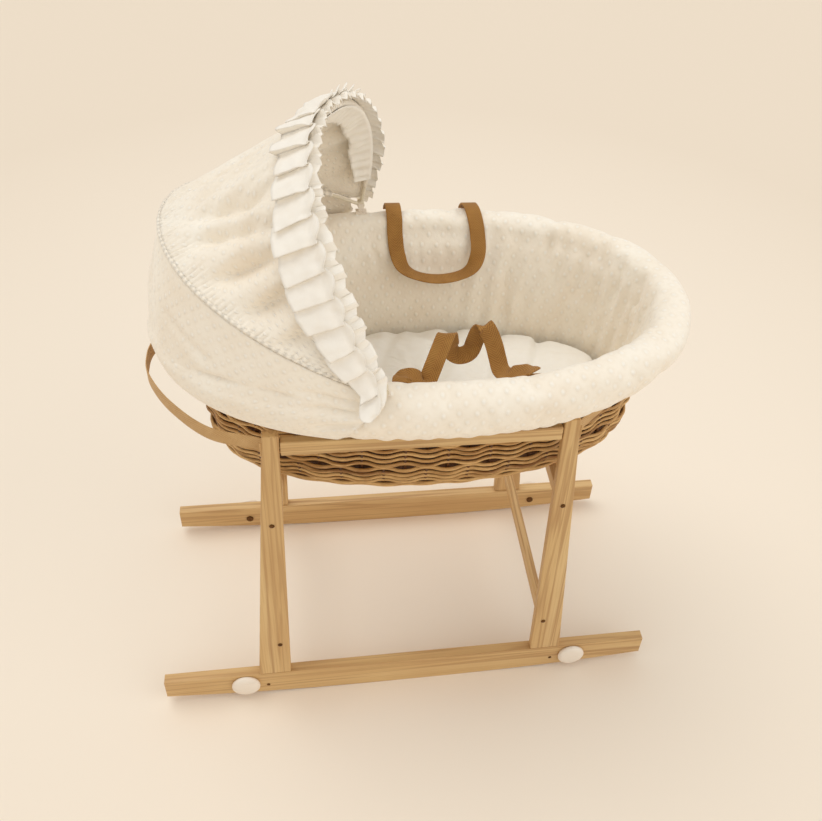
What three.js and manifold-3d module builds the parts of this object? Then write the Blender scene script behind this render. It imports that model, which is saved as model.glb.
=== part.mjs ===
// A moses basket with a padded cover and a folding hood, on a wooden rocking stand.
// Millimetres, +Z up. X runs along the basket from head (-X) to foot (+X), -Y is the front,
// and the origin is on the floor under the middle of the stand.
import * as THREE from 'three';
import { mergeVertices } from 'three/addons/utils/BufferGeometryUtils.js';
import Module from 'manifold-3d';

const wasm = await Module();
wasm.setup();

const gap = 0.3; // between pieces that touch
const overrun = 2; // how far a cutting tool runs past a face
const holeClearance = 0.3; // between a shank and its hole, on the radius

const standWidth = 414; // over the outer faces of the rockers
const rocker = { length: 884, thickness: 19, endDepth: 43, midDepth: 62, arcSteps: 20, flat: 45 };
const leg = {
  height: 591, footWidth: 56, topWidth: 24, thickness: 16,
  footSpacing: 498, topSpacing: 438, lean: 6,
};
const topRail = { height: 26, drop: 13 };
const dowel = { radius: 4, length: 30, sides: 10, endPlay: 1 };
const crossRail = { width: 14, height: 24 };
// How far the rails' middles are set in from the middles of the legs
const lowerRails = { rise: 88, inset: 9.5 };
const upperRailDrop = 188; // from the legs' tops to the middle of the upper rails
const upperRails = { rise: leg.height - upperRailDrop, inset: 0 };
const legScrew = { headRadius: 4.2, headHeight: 1.6, shankRadius: 2.2, length: 42, endPlay: 1 };
const rockerScrew = { headRadius: 3.2, headHeight: 1.2, shankRadius: 1.6, length: 14, endPlay: 1 };
const screwSides = 8;

const stopper = {
  radius: 25, thickness: 9, rim: 2.5, crown: 2, bottom: 12, throw: 6, sides: 24,
  standoff: 0.5,
};
const stopperPin = { radius: 3.5, headRadius: 7, headHeight: 2.5, bite: 4, sides: 12 };

const strap = { width: 25, thickness: 1.6, belowLegTop: 24, steps: 26, tail: 13, standoff: 7 };
const headStrapReach = 404; // how far the slack loop bows out from the middle of the stand
const footStrapTurns = [-40, -26, -13, 0]; // degrees round the basket that the tight loop touches

const basket = {
  shift: 26, height: 245, wall: 7, ovalPower: 2.15,
  midHalfLength: 346, midHalfWidth: 172, rimHalfLength: 376, rimHalfWidth: 225,
  corner: 36, cornerHeight: 66, flarePower: 4.5, baseThickness: 7,
};
const ringSteps = 40; // stations round every oval ring
// The wicker of the lower wall swells out in waves, and each band of rows is half a wave on from the last.
// Bands are shares of the way up the wall with the way each of them swells.
const weave = {
  waves: 26, stepsPerWave: 4, depth: 2.8, tableSteps: 720,
  bands: [
    [0, 0], [0.06, 1], [0.16, 1], [0.27, 1], [0.35, -1], [0.59, -1], [0.67, 1], [0.91, 1], [1, 0],
  ],
};
const waist = { height: 132, radius: 4.5, sides: 6 };
const rimBorder = { radius: 8, sides: 6 };
const cover = { crest: 27, ripple: 1.5, ripples: 10 };
// The cover's section as heights from the rim and distances out from the rim's line, both ways round it
const coverOutside = [[-68, -5], [-60, 7], [-44, 20], [-22, 30], [0, 33], [15, 28], [25, 16]];
const coverInside = [[27, 2], [24, -12], [14, -21], [0, -26], [-18, -24], [-36, -18]];
const coverLining = [[-36, -6], [-14, -7], [-7, -11], [7, -9], [11.5, 0], [7, 10], [-7, 11]];
const coverBacking = [[-42, 7], [-68, -13]];
const liner = { thickness: 6, clearance: 4.5, topDrop: 38, foot: 12, ripple: 1.2, ripples: 8 };
const mattress = { thickness: 84, crown: 10, clearance: 2, edge: 24, tuft: 5, channels: 4 };

const webbing = { width: 26, thickness: 2.4, steps: 30 };
// Routes of the carrying handles as X, Y and height over the rim, from the head end to the foot end
const backHandleRoute = [
  [-37, 238, 33], [-37, 231, 39], [-36, 218, 38], [-35, 203, 26], [-35, 190, 4], [-32, 173, -22],
  [-22, 159, -43], [4, 153, -56], [38, 151, -61], [72, 151, -55], [94, 152, -40], [104, 164, -18],
  [104, 182, 6], [101, 197, 26], [97, 213, 38], [93, 228, 39], [93, 236, 33],
];
const frontHandleRoute = [
  [-62, -192, 14], [-60, -184, 14], [-54, -174, 10], [-36, -166, 8], [-14, -152, 12], [2, -132, 22],
  [13, -108, 28], [22, -96, 17], [29, -94, -4], [37, -94, -22], [46, -96, -20], [53, -100, 4],
  [60, -106, 28], [68, -114, 35], [78, -132, 28], [92, -154, 18], [110, -168, 11], [122, -175, 13],
  [128, -182, 14],
];
// The fixed ends of the handles, as distances outwards and up from where the handle starts
const backTabRoute = [[0.6, -0.5], [7.4, -6], [13.4, -12.2], [16, -18]];
const frontTabRoute = [[1.9, -2], [3.1, -6], [2.4, -13]];
const handleTabSteps = 4;

const hood = { pivotX: -89, pivotRise: 12, frontLean: 12, rearLean: 66 };
const hoop = { radius: 3, sides: 4, steps: 24 };
const frontHoop = { halfWidth: 236, height: 284, power: 1.7, skewLength: 42 };
const rearHoop = { halfWidth: 229.5, height: 300, power: 2, skewLength: 0 };
const hoopEye = { radius: 6, bore: 2.6, thickness: 6, sides: 14 };
const hingePin = { radius: 2.1, length: 16.5, sides: 12 };
const hingeFoot = { length: 18, width: 15, thickness: 1.8, cheek: 2, cheekWidth: 9 };
const canopy = {
  thickness: 2.6, slack: 2, folds: 12, foldDepth: 8, sag: 6, rows: 6, columns: 96, startTurn: 3,
  drift: 0.5, driftWaves: 3, ridgePower: 0.7,
};
const rearPanel = {
  thickness: 2.6, rows: 7, columns: 28, startTurn: 3.5, standoff: 3, bulge: 4, topX: -98, hemX: -175,
};
const ruffle = {
  thickness: 1.4, ahead: 36, behind: 50, curl: 0.5, waves: 20, waveDepth: 3, rows: 3, stepsPerWave: 4,
  startTurn: 6, taperTurn: 34, standoff: 3.5, endWidthShare: 0.4, apexAheadShare: 0.35,
};

const toRadians = Math.PI / 180;
const front = -1; // sign of Y
const back = 1;
const head = -1; // sign of X
const foot = 1;
const sideNames = { [front]: 'front', [back]: 'back' };
const endNames = { [head]: 'head', [foot]: 'foot' };

const rockerTop = rocker.midDepth;
const legTop = rockerTop + leg.height;
const upperRailTop = rockerTop + upperRails.rise + crossRail.height / 2;
const seatHeight = upperRailTop + gap; // underside of the basket
const crestRise = basket.height + cover.crest; // top of the padded rim

function finish(color, roughness) {
  return () => new THREE.MeshStandardMaterial({ color, roughness, metalness: 0 });
}
const pine = finish(0xc8a069, 0.55);
const wicker = finish(0xb9915a, 0.65);
const dimpleCloth = finish(0xf5ebdc, 0.95);
const smoothCloth = finish(0xf8f0e4, 0.9);
const brownWebbing = finish(0xa57337, 0.85);
const tanWebbing = finish(0xbe9664, 0.85);
const creamPlastic = finish(0xe6dac8, 0.4);
const cane = finish(0xe6dcc8, 0.5);
const zinc = () => new THREE.MeshStandardMaterial({ color: 0x8a7350, roughness: 0.45, metalness: 0.8 });

function named(name, geometry, material) {
  const mesh = new THREE.Mesh(geometry, material());
  mesh.name = name;
  return mesh;
}

function mix(from, to, share) {
  return from + (to - from) * share;
}

function smooth(share) {
  const held = Math.min(Math.max(share, 0), 1);
  return held * held * (3 - 2 * held);
}

// A closed geometry from points and triangles, turned so that its faces point out
function closedGeometry(points, triangles) {
  let volume = 0;
  const cross = new THREE.Vector3();
  for (const [a, b, c] of triangles) {
    volume += cross.crossVectors(points[b], points[c]).dot(points[a]);
  }
  const order = volume < 0 ? triangles.map(([a, b, c]) => [a, c, b]) : triangles;
  const geometry = new THREE.BufferGeometry().setFromPoints(points);
  geometry.setIndex(order.flat());
  geometry.computeVertexNormals();
  return geometry;
}

function solidOf(geometry) {
  const bare = new THREE.BufferGeometry();
  bare.setAttribute('position', geometry.getAttribute('position'));
  if (geometry.index) bare.setIndex(geometry.index);
  const merged = mergeVertices(bare, 1e-4);
  return new wasm.Manifold(new wasm.Mesh({
    numProp: 3,
    vertProperties: new Float32Array(merged.getAttribute('position').array),
    triVerts: new Uint32Array(merged.index.array),
  }));
}

function geometryOf(solid) {
  const { numProp, vertProperties, triVerts } = solid.getMesh();
  const positions = new Float32Array((vertProperties.length / numProp) * 3);
  for (let i = 0; i * 3 < positions.length; i += 1) {
    positions.set(vertProperties.subarray(i * numProp, i * numProp + 3), i * 3);
  }
  const geometry = new THREE.BufferGeometry();
  geometry.setAttribute('position', new THREE.BufferAttribute(positions, 3));
  geometry.setIndex(new THREE.BufferAttribute(triVerts, 1));
  geometry.computeVertexNormals();
  return geometry;
}

function cut(geometry, ...tools) {
  return geometryOf(tools.reduce((solid, tool) => solid.subtract(solidOf(tool)), solidOf(geometry)));
}

function join(geometry, ...others) {
  return geometryOf(others.reduce((solid, other) => solid.add(solidOf(other)), solidOf(geometry)));
}

// A sheet through a grid of points, half its thickness to each side
function sheet(rows, columns, thickness, pointAt) {
  const grid = [];
  for (let i = 0; i <= rows; i += 1) {
    grid.push([]);
    for (let j = 0; j <= columns; j += 1) grid[i].push(pointAt(i / rows, j / columns));
  }
  const at = (i, j) => grid[Math.min(Math.max(i, 0), rows)][Math.min(Math.max(j, 0), columns)];
  const points = [];
  for (const side of [1, -1]) {
    for (let i = 0; i <= rows; i += 1) {
      for (let j = 0; j <= columns; j += 1) {
        const down = new THREE.Vector3().subVectors(at(i + 1, j), at(i - 1, j));
        const across = new THREE.Vector3().subVectors(at(i, j + 1), at(i, j - 1));
        const normal = down.cross(across).normalize();
        points.push(at(i, j).clone().addScaledVector(normal, (side * thickness) / 2));
      }
    }
  }
  const layer = (rows + 1) * (columns + 1);
  const id = (i, j, lower) => i * (columns + 1) + j + (lower ? layer : 0);
  const triangles = [];
  const quad = (a, b, c, d) => triangles.push([a, b, c], [a, c, d]);
  for (let i = 0; i < rows; i += 1) {
    for (let j = 0; j < columns; j += 1) {
      quad(id(i, j), id(i + 1, j), id(i + 1, j + 1), id(i, j + 1));
      quad(id(i, j, true), id(i, j + 1, true), id(i + 1, j + 1, true), id(i + 1, j, true));
    }
  }
  for (let j = 0; j < columns; j += 1) {
    quad(id(0, j), id(0, j + 1), id(0, j + 1, true), id(0, j, true));
    quad(id(rows, j + 1), id(rows, j), id(rows, j, true), id(rows, j + 1, true));
  }
  for (let i = 0; i < rows; i += 1) {
    quad(id(i + 1, 0), id(i, 0), id(i, 0, true), id(i + 1, 0, true));
    quad(id(i, columns), id(i + 1, columns), id(i + 1, columns, true), id(i, columns, true));
  }
  return closedGeometry(points, triangles);
}

// A flat band along a curve; widthAt gives the direction of its width at a share of the way
function ribbon(curve, width, thickness, steps, widthAt) {
  return sheet(steps, 1, thickness, (share, side) => {
    const across = widthAt(share).normalize().multiplyScalar(width * (side - 0.5));
    return curve.getPointAt(share).add(across);
  });
}

// The turned outline of radius and height pairs, closed on its axis, with the axis along Z
function turned(outline, sides) {
  const geometry = new THREE.LatheGeometry(outline.map(([r, h]) => new THREE.Vector2(r, h)), sides);
  return geometry.rotateX(Math.PI / 2);
}

function rod(radius, length, sides) {
  return new THREE.CylinderGeometry(radius, radius, length, sides);
}

// A plank from an outline in X and Z, with round holes, between two Y values
function plank(corners, holes, fromY, toY) {
  const outline = corners.map(([x, z]) => new THREE.Vector2(x, z));
  if (THREE.ShapeUtils.isClockWise(outline)) outline.reverse();
  const shape = new THREE.Shape(outline);
  for (const { x, z, radius } of holes) {
    shape.holes.push(new THREE.Path().absarc(x, z, radius, 0, 2 * Math.PI, true));
  }
  const geometry = new THREE.ExtrudeGeometry(shape, {
    depth: toY - fromY, bevelEnabled: false, curveSegments: screwSides,
  });
  return geometry.rotateX(Math.PI / 2).translate(0, toY, 0);
}

// Height share up a leg to its half spacing, half width and outer face
function legAt(rise) {
  const share = rise / leg.height;
  const centre = mix(leg.footSpacing, leg.topSpacing, share) / 2;
  const halfWidth = mix(leg.footWidth, leg.topWidth, share) / 2;
  const outer = standWidth / 2 - leg.lean * share;
  return { centre, halfWidth, outer, inner: outer - leg.thickness };
}

const stopperX = (leg.footSpacing + leg.footWidth) / 2 + stopper.radius; // just beside the leg's foot

// The underside is flat for a short way each side of its middle and curves up to the ends
function rockerUnderside(x) {
  const share = Math.max(Math.abs(x) - rocker.flat, 0) / (rocker.length / 2 - rocker.flat);
  return (rocker.midDepth - rocker.endDepth) * share * share;
}

function makeRocker(side) {
  const corners = [[-rocker.length / 2, rockerTop]];
  for (let i = 0; i <= rocker.arcSteps; i += 1) {
    const x = mix(-rocker.length / 2, rocker.length / 2, i / rocker.arcSteps);
    corners.push([x, rockerUnderside(x)]);
  }
  corners.push([rocker.length / 2, rockerTop]);
  const holes = [head, foot].map((end) => ({
    x: end * stopperX, z: stopperPivotZ, radius: stopperPin.radius + holeClearance,
  }));
  const outer = (side * standWidth) / 2;
  const inner = outer - side * rocker.thickness;
  const body = plank(corners, holes, Math.min(outer, inner), Math.max(outer, inner));
  const pilots = [head, foot].map((end) => {
    const depth = rockerScrew.length + rockerScrew.endPlay;
    const pilot = rod(rockerScrew.shankRadius + holeClearance, depth + overrun, screwSides);
    return pilot.translate(end * rockerScrewX, outer - (side * (depth - overrun)) / 2, rockerScrewZ);
  });
  return cut(body, ...pilots);
}

function makeLeg(side, end) {
  const foot0 = legAt(0);
  const top0 = legAt(leg.height);
  const corners = [
    [end * (foot0.centre - foot0.halfWidth), 0],
    [end * (foot0.centre + foot0.halfWidth), 0],
    [end * (top0.centre + top0.halfWidth), leg.height - gap],
    [end * (top0.centre - top0.halfWidth), leg.height - gap],
  ];
  const holes = [lowerRails, upperRails].map(({ rise, inset }) => ({
    x: end * (legAt(rise).centre - inset), z: rise - gap, radius: legScrew.shankRadius + holeClearance,
  }));
  const outer = (side * standWidth) / 2;
  const inner = outer - side * leg.thickness;
  const body = plank(corners, holes, Math.min(outer, inner), Math.max(outer, inner));
  body.applyMatrix4(new THREE.Matrix4().makeShear(0, 0, 0, 0, 0, (-side * leg.lean) / leg.height));
  const hole = rod(dowel.radius + holeClearance, dowel.length + 2 * dowel.endPlay, dowel.sides);
  hole.rotateZ(Math.PI / 2).translate(end * dowelX, side * topRailY, topRailZ - rockerTop - gap);
  return cut(body, hole);
}

const stopperZ = stopper.bottom + stopper.radius;
const stopperPivotZ = stopperZ - stopper.throw;
const rockerScrewX = legAt(0).centre + leg.footWidth / 4;
const rockerScrewZ = rocker.midDepth * 0.45;
const topRailRise = leg.height - topRail.drop - topRail.height / 2;
const topRailZ = rockerTop + topRailRise;
const topRailY = legAt(topRailRise).outer - leg.thickness / 2;
const topRailHalf = legAt(topRailRise + topRail.height / 2).centre
  - legAt(topRailRise - topRail.height / 2).halfWidth - gap;
const dowelX = topRailHalf;

function makeTopRail() {
  const body = new THREE.BoxGeometry(2 * topRailHalf, leg.thickness, topRail.height);
  const holes = [head, foot].map((end) => {
    const hole = rod(dowel.radius + holeClearance, dowel.length + 2 * dowel.endPlay, dowel.sides);
    return hole.rotateZ(Math.PI / 2).translate(end * dowelX, 0, 0);
  });
  return cut(body, ...holes);
}

function makeCrossRail(rise) {
  const half = legAt(rise + crossRail.height / 2).inner - gap;
  const body = new THREE.BoxGeometry(crossRail.width, 2 * half, crossRail.height);
  const depth = legScrew.length - leg.thickness + legScrew.endPlay;
  const holes = [front, back].map((side) => {
    const hole = rod(legScrew.shankRadius + holeClearance, depth + overrun, screwSides);
    return hole.translate(0, side * (half - (depth - overrun) / 2), 0);
  });
  return cut(body, ...holes);
}

// A domed head on a straight shank; the head's seat is at Z 0 and the shank runs to -Z
function makeScrew({ headRadius, headHeight, shankRadius, length }) {
  return turned([
    [0, -length], [shankRadius, -length], [shankRadius, 0], [headRadius, 0],
    [headRadius, headHeight / 2], [headRadius / 2, headHeight], [0, headHeight],
  ], screwSides);
}

function facing(mesh, side) {
  mesh.rotation.x = (-side * Math.PI) / 2;
  return mesh;
}

// A domed disc whose blind bore sits below its middle, so that half a turn brings it to the floor
function makeStopper(side) {
  const { radius, thickness, rim, crown, sides } = stopper;
  const disc = turned([
    [0, 0], [radius - rim / 2, 0], [radius, rim / 2], [radius, thickness - rim],
    [radius - rim, thickness - rim / 3], [radius / 2, thickness + crown * 0.75], [0, thickness + crown],
  ], sides);
  const bore = turned([
    [0, -overrun], [stopperPin.radius + holeClearance, -overrun],
    [stopperPin.radius + holeClearance, stopperPin.bite + holeClearance],
    [0, stopperPin.bite + holeClearance],
  ], stopperPin.sides);
  return cut(disc, bore.translate(0, side * stopper.throw, 0));
}

function makeStopperPin() {
  const { radius, headRadius, headHeight, bite, sides } = stopperPin;
  const length = rocker.thickness + stopper.standoff + bite;
  return turned([
    [0, -headHeight - gap], [headRadius, -headHeight - gap], [headRadius, -gap],
    [radius, -gap], [radius, length], [0, length],
  ], sides);
}

// The curve of a strap round one end of the stand, at its own height
function strapCurve(end) {
  const rise = leg.height - strap.belowLegTop;
  const { centre, halfWidth, outer } = legAt(rise);
  const side = centre + halfWidth + gap + strap.thickness;
  const start = [[side, outer - gap], [side + gap, outer - strap.tail]];
  let round;
  if (end === head) {
    const bowShares = [[0.42, 0.8], [0.76, 0.5], [0.96, 0.2], [1, 0]];
    round = bowShares.map(([out, aside]) => [mix(side, headStrapReach, out), outer * aside]);
  } else {
    round = footStrapTurns.map((degrees) => {
      const at = wallPoint(degrees * toRadians, seatedStrapZ, basket.wall / 2 + strap.standoff);
      return [at.x + basket.shift, -at.y];
    });
  }
  const half = [...start, ...round];
  const rest = half.slice(0, -1).reverse().map(([x, y]) => [x, -y]);
  return new THREE.CatmullRomCurve3(
    [...half.map(([x, y]) => [x, y]), ...rest].map(([x, y]) => new THREE.Vector3(end * x, -y, 0)),
    false, 'centripetal',
  );
}

const strapZ = rockerTop + leg.height - strap.belowLegTop;
const seatedStrapZ = strapZ - seatHeight;

function makeStrap(end) {
  const up = () => new THREE.Vector3(0, 0, 1);
  return ribbon(strapCurve(end), strap.width, strap.thickness, strap.steps, up);
}

const railLevels = [['lower', lowerRails], ['upper', upperRails]];
const stand = new THREE.Group();
for (const side of [front, back]) {
  const sideName = sideNames[side];
  stand.add(named(`rocker_${sideName}`, makeRocker(side), pine));
  const rail = named(`top_rail_${sideName}`, makeTopRail(), pine);
  rail.position.set(0, side * topRailY, topRailZ);
  stand.add(rail);
  for (const end of [head, foot]) {
    const corner = `${sideName}_${endNames[end]}`;
    const post = named(`leg_${corner}`, makeLeg(side, end), pine);
    post.position.z = rockerTop + gap;
    stand.add(post);

    const peg = named(`dowel_${corner}`, rod(dowel.radius, dowel.length, dowel.sides), pine);
    peg.rotation.z = Math.PI / 2;
    peg.position.set(end * dowelX, side * topRailY, topRailZ);
    stand.add(peg);

    for (const [level, { rise, inset }] of railLevels) {
      const screw = facing(named(`leg_screw_${corner}_${level}`, makeScrew(legScrew), zinc), side);
      const { outer } = legAt(rise - legScrew.headRadius);
      screw.position.set(end * (legAt(rise).centre - inset), side * (outer + gap), rockerTop + rise);
      stand.add(screw);
    }

    const pin = facing(named(`rocker_screw_${corner}`, makeScrew(rockerScrew), zinc), side);
    pin.position.set(end * rockerScrewX, side * (standWidth / 2 + gap), rockerScrewZ);
    stand.add(pin);

    const block = facing(named(`stopper_${corner}`, makeStopper(side), creamPlastic), side);
    stand.add(block);
    block.position.set(end * stopperX, side * (standWidth / 2 + stopper.standoff), stopperZ);

    const pivot = facing(named(`stopper_pin_${corner}`, makeStopperPin(), zinc), side);
    pivot.position.set(end * stopperX, side * (standWidth / 2 - rocker.thickness), stopperPivotZ);
    stand.add(pivot);
  }
}
for (const end of [head, foot]) {
  for (const [level, { rise, inset }] of railLevels) {
    const rail = named(`cross_rail_${level}_${endNames[end]}`, makeCrossRail(rise), pine);
    rail.position.set(end * (legAt(rise).centre - inset), 0, rockerTop + rise);
    stand.add(rail);
  }
  const band = named(`end_strap_${endNames[end]}`, makeStrap(end), tanWebbing);
  band.position.z = strapZ;
  stand.add(band);
}

// Half length and half width of the basket wall's middle at a height above its underside
function wallHalf(height) {
  const share = Math.min(Math.max(height / basket.height, 0), 1);
  const low = 1 - Math.min(Math.max(height / basket.cornerHeight, 0), 1);
  const tuck = basket.corner * (1 - Math.sqrt(1 - low * low));
  const flare = share ** basket.flarePower;
  return {
    length: mix(basket.midHalfLength, basket.rimHalfLength, flare) - tuck,
    width: mix(basket.midHalfWidth, basket.rimHalfWidth, flare) - tuck,
  };
}

// A point on the basket's oval, set out from the wall's middle along the outward direction
function wallPoint(turn, height, out) {
  const { length, width } = wallHalf(height);
  const power = basket.ovalPower;
  const c = Math.cos(turn);
  const s = Math.sin(turn);
  const x = Math.sign(c) * Math.abs(c) ** (2 / power);
  const y = Math.sign(s) * Math.abs(s) ** (2 / power);
  const outward = new THREE.Vector3(
    (Math.sign(x) * Math.abs(x) ** (power - 1)) / length,
    (Math.sign(y) * Math.abs(y) ** (power - 1)) / width,
    0,
  ).normalize();
  return new THREE.Vector3(length * x, width * y, height).addScaledVector(outward, out);
}

// The same from the rim down, keeping to the slope of the wall
function flaredPoint(turn, rise, out) {
  return wallPoint(turn, basket.height + rise, out);
}

function evenTurn(share) {
  return 2 * Math.PI * share;
}

// A lookup of the value that lies a given share of the length along a path
function alongPath(pointAt, steps) {
  const reach = [0];
  for (let i = 1; i <= steps; i += 1) {
    reach.push(reach[i - 1] + pointAt(i / steps).distanceTo(pointAt((i - 1) / steps)));
  }
  return (share) => {
    const wanted = share * reach[steps];
    const i = Math.max(1, reach.findIndex((length) => length >= wanted - 1e-9));
    return (i - 1 + (wanted - reach[i - 1]) / (reach[i] - reach[i - 1])) / steps;
  };
}

// A closed ring whose section has a given number of points
function ringOf(count, pointAt, steps = ringSteps, turnOf = evenTurn) {
  const points = [];
  const triangles = [];
  for (let i = 0; i < steps; i += 1) {
    const turn = turnOf((i + 0.5) / steps);
    for (let j = 0; j < count; j += 1) points.push(pointAt(turn, j, i));
  }
  for (let i = 0; i < steps; i += 1) {
    for (let j = 0; j < count; j += 1) {
      const a = i * count + j;
      const b = i * count + ((j + 1) % count);
      const c = ((i + 1) % steps) * count + ((j + 1) % count);
      const d = ((i + 1) % steps) * count + j;
      triangles.push([a, b, c], [a, c, d]);
    }
  }
  return closedGeometry(points, triangles);
}

// A ring round the basket from a closed section of height and outset pairs
function basketRing(section, ripple = () => 0) {
  return ringOf(section.length, (turn, i) => {
    const [height, out] = section[i];
    return wallPoint(turn, height, out + ripple(turn, height));
  });
}

function roundSection(height, radius, sides) {
  return Array.from({ length: sides }, (_, i) => {
    const angle = (2 * Math.PI * (i + 0.5)) / sides;
    return [height + radius * Math.sin(angle), radius * Math.cos(angle)];
  });
}

// A wall section of even thickness through the given heights
function wallSection(heights, thickness, middle = 0) {
  const outside = heights.map((height) => [height, middle + thickness / 2]);
  const inside = heights.map((height) => [height, middle - thickness / 2]).reverse();
  return [...outside, ...inside];
}

function basketOutline(height, inset) {
  return Array.from({ length: ringSteps }, (_, i) => {
    const { x, y } = wallPoint((2 * Math.PI * (i + 0.5)) / ringSteps, height, -inset);
    return new THREE.Vector2(x, y);
  });
}

function makeBase() {
  const shape = new THREE.Shape(basketOutline(0, basket.wall / 2 + gap));
  return new THREE.ExtrudeGeometry(shape, { depth: basket.baseThickness, bevelEnabled: false });
}

const waistReach = waist.radius + gap;
const lowerWallTop = waist.height - waistReach;
const bandBottom = waist.height + waistReach;
const bandTop = basket.height - rimBorder.radius - gap;

function makeLowerWall() {
  const { waves, stepsPerWave, depth, bands, tableSteps } = weave;
  const upWall = alongPath((share) => wallPoint(0, share * lowerWallTop, 0), tableSteps);
  const middleHeight = basket.height / 2;
  const roundWall = alongPath((share) => wallPoint(evenTurn(share), middleHeight, 0), tableSteps);
  const heights = bands.map(([share]) => upWall(share) * lowerWallTop);
  const section = wallSection(heights, basket.wall);
  return ringOf(section.length, (turn, j, i) => {
    const [height, out] = section[j];
    const swell = j < bands.length ? bands[j][1] * depth : 0;
    return wallPoint(turn, height, out + swell * Math.sin((2 * Math.PI * (i + 0.5)) / stepsPerWave));
  }, waves * stepsPerWave, (share) => evenTurn(roundWall(share)));
}

function makeStakeBand() {
  const heights = [0, 0.4, 0.75, 1].map((share) => mix(bandBottom, bandTop, share));
  return basketRing(wallSection(heights, basket.wall));
}

// A point at a height from the rim and a distance out from the rim's own line
function rimPoint(turn, rise, out) {
  return wallPoint(turn, basket.height, out).setZ(basket.height + rise);
}

function puckerAt(turn, rise) {
  const share = smooth(1 + rise / coverOutside[0][0] * -1);
  return cover.ripple * share * Math.sin(cover.ripples * turn);
}

// The padded cover folds over the rim: outside from its hem, over the crest, and down inside
function makeRimCover() {
  const stations = [
    ...coverOutside.map((at) => [at, rimPoint]), ...coverInside.map((at) => [at, flaredPoint]),
    ...coverLining.map((at) => [at, flaredPoint]), ...coverBacking.map((at) => [at, rimPoint]),
  ];
  return ringOf(stations.length, (turn, i) => {
    const [[rise, out], place] = stations[i];
    return place(turn, rise, out + puckerAt(turn, rise));
  });
}

function makeLiner() {
  const top = basket.height - liner.topDrop;
  const heights = [0, 0.12, 0.4, 0.75, 1].map((share) => mix(liner.foot, top, share));
  const middle = -(basket.wall / 2 + liner.clearance + liner.thickness / 2);
  const section = wallSection(heights, liner.thickness, middle);
  return basketRing(section, (turn) => liner.ripple * Math.sin(liner.ripples * turn));
}

// The mattress: an oval pad with a crown, drawn-in edges and sewn channels over its foot end
function makeMattress() {
  const inset = basket.wall / 2 + liner.clearance + liner.thickness + liner.ripple + mattress.clearance;
  const bottom = basket.baseThickness + gap;
  const top = bottom + mattress.thickness;
  const rings = [
    [0.9, bottom, 0], [1, bottom + mattress.edge * 0.6, 0], [1, top - mattress.edge, 0],
    [0.985, top - mattress.edge * 0.35, 0], [0.93, top, 0.3], [0.78, top, 0.7],
    [0.55, top, 0.9], [0.28, top, 1],
  ];
  const waistHalf = wallHalf(bottom + mattress.edge * 0.6);
  const points = [];
  for (const [share, height, crown] of rings) {
    for (let i = 0; i < ringSteps; i += 1) {
      const at = wallPoint((2 * Math.PI * (i + 0.5)) / ringSteps, bottom + mattress.edge * 0.6, -inset);
      const x = at.x * share;
      const along = (x / waistHalf.length) * mattress.channels * 2 * Math.PI;
      const sewn = mattress.tuft * smooth((x / waistHalf.length) * 2 - 0.2) * (1 + Math.cos(along)) * 0.5;
      const bulge = crown * (mattress.crown - sewn);
      points.push(new THREE.Vector3(x, at.y * share, height + bulge));
    }
  }
  points.push(new THREE.Vector3(0, 0, bottom), new THREE.Vector3(0, 0, top + mattress.crown));
  const under = points.length - 2;
  const over = points.length - 1;
  const last = (rings.length - 1) * ringSteps;
  const triangles = [];
  for (let i = 0; i < ringSteps; i += 1) {
    const next = (i + 1) % ringSteps;
    triangles.push([under, next, i], [over, last + i, last + next]);
    for (let r = 0; r < rings.length - 1; r += 1) {
      const low = r * ringSteps;
      const above = low + ringSteps;
      triangles.push([low + i, low + next, above + next], [low + i, above + next, above + i]);
    }
  }
  return closedGeometry(points, triangles);
}

// A centre line through points given as X, Y and height over the rim
function routeOf(points) {
  const stations = points.map(([x, y, rise]) => new THREE.Vector3(x, y, basket.height + rise));
  return new THREE.CatmullRomCurve3(stations, false, 'centripetal');
}

// 0 near both ends of a way and 1 in its middle, changing over a span that starts some way in
function awayFromEnds(share, start, span) {
  return smooth((0.5 - Math.abs(share - 0.5) - start) / span);
}

// It comes over the crest, hangs inside against the liner and turns flat at its lowest point
function makeBackHandle() {
  const [startShare, turnShare] = [0.24, 0.18];
  const { width, thickness, steps } = webbing;
  return ribbon(routeOf(backHandleRoute), width, thickness, steps, (share) => {
    const turn = awayFromEnds(share, startShare, turnShare) * (Math.PI / 2);
    return new THREE.Vector3(Math.cos(turn) * (share < 0.5 ? 1 : -1), Math.sin(turn), 0);
  });
}

// It flops inside: up from the rim to a bend, down to a short link and over a second bend
function makeFrontHandle() {
  const curve = routeOf(frontHandleRoute);
  const [startShare, turnShare] = [0.02, 0.1];
  return ribbon(curve, webbing.width, webbing.thickness, webbing.steps, (share) => {
    const tangent = curve.getTangentAt(share);
    const flat = new THREE.Vector3(0, 0, 1).cross(tangent).normalize();
    const level = new THREE.Vector3(-1, 0, 0);
    const blended = level.lerp(flat, awayFromEnds(share, startShare, turnShare));
    return blended.addScaledVector(tangent, -blended.dot(tangent));
  });
}

// A short end of webbing that lies on the cover where the handle is sewn through it
function makeTab(side, [x, y, rise]) {
  const route = side === back ? backTabRoute : frontTabRoute;
  const curve = routeOf(route.map(([out, up]) => [x, y + side * out, rise + up]));
  const level = () => new THREE.Vector3(1, 0, 0);
  return ribbon(curve, webbing.width, webbing.thickness, handleTabSteps, level);
}

// The hood folds about one line across the basket, just above the padded rim
const pivotZ = crestRise + hood.pivotRise;

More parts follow.
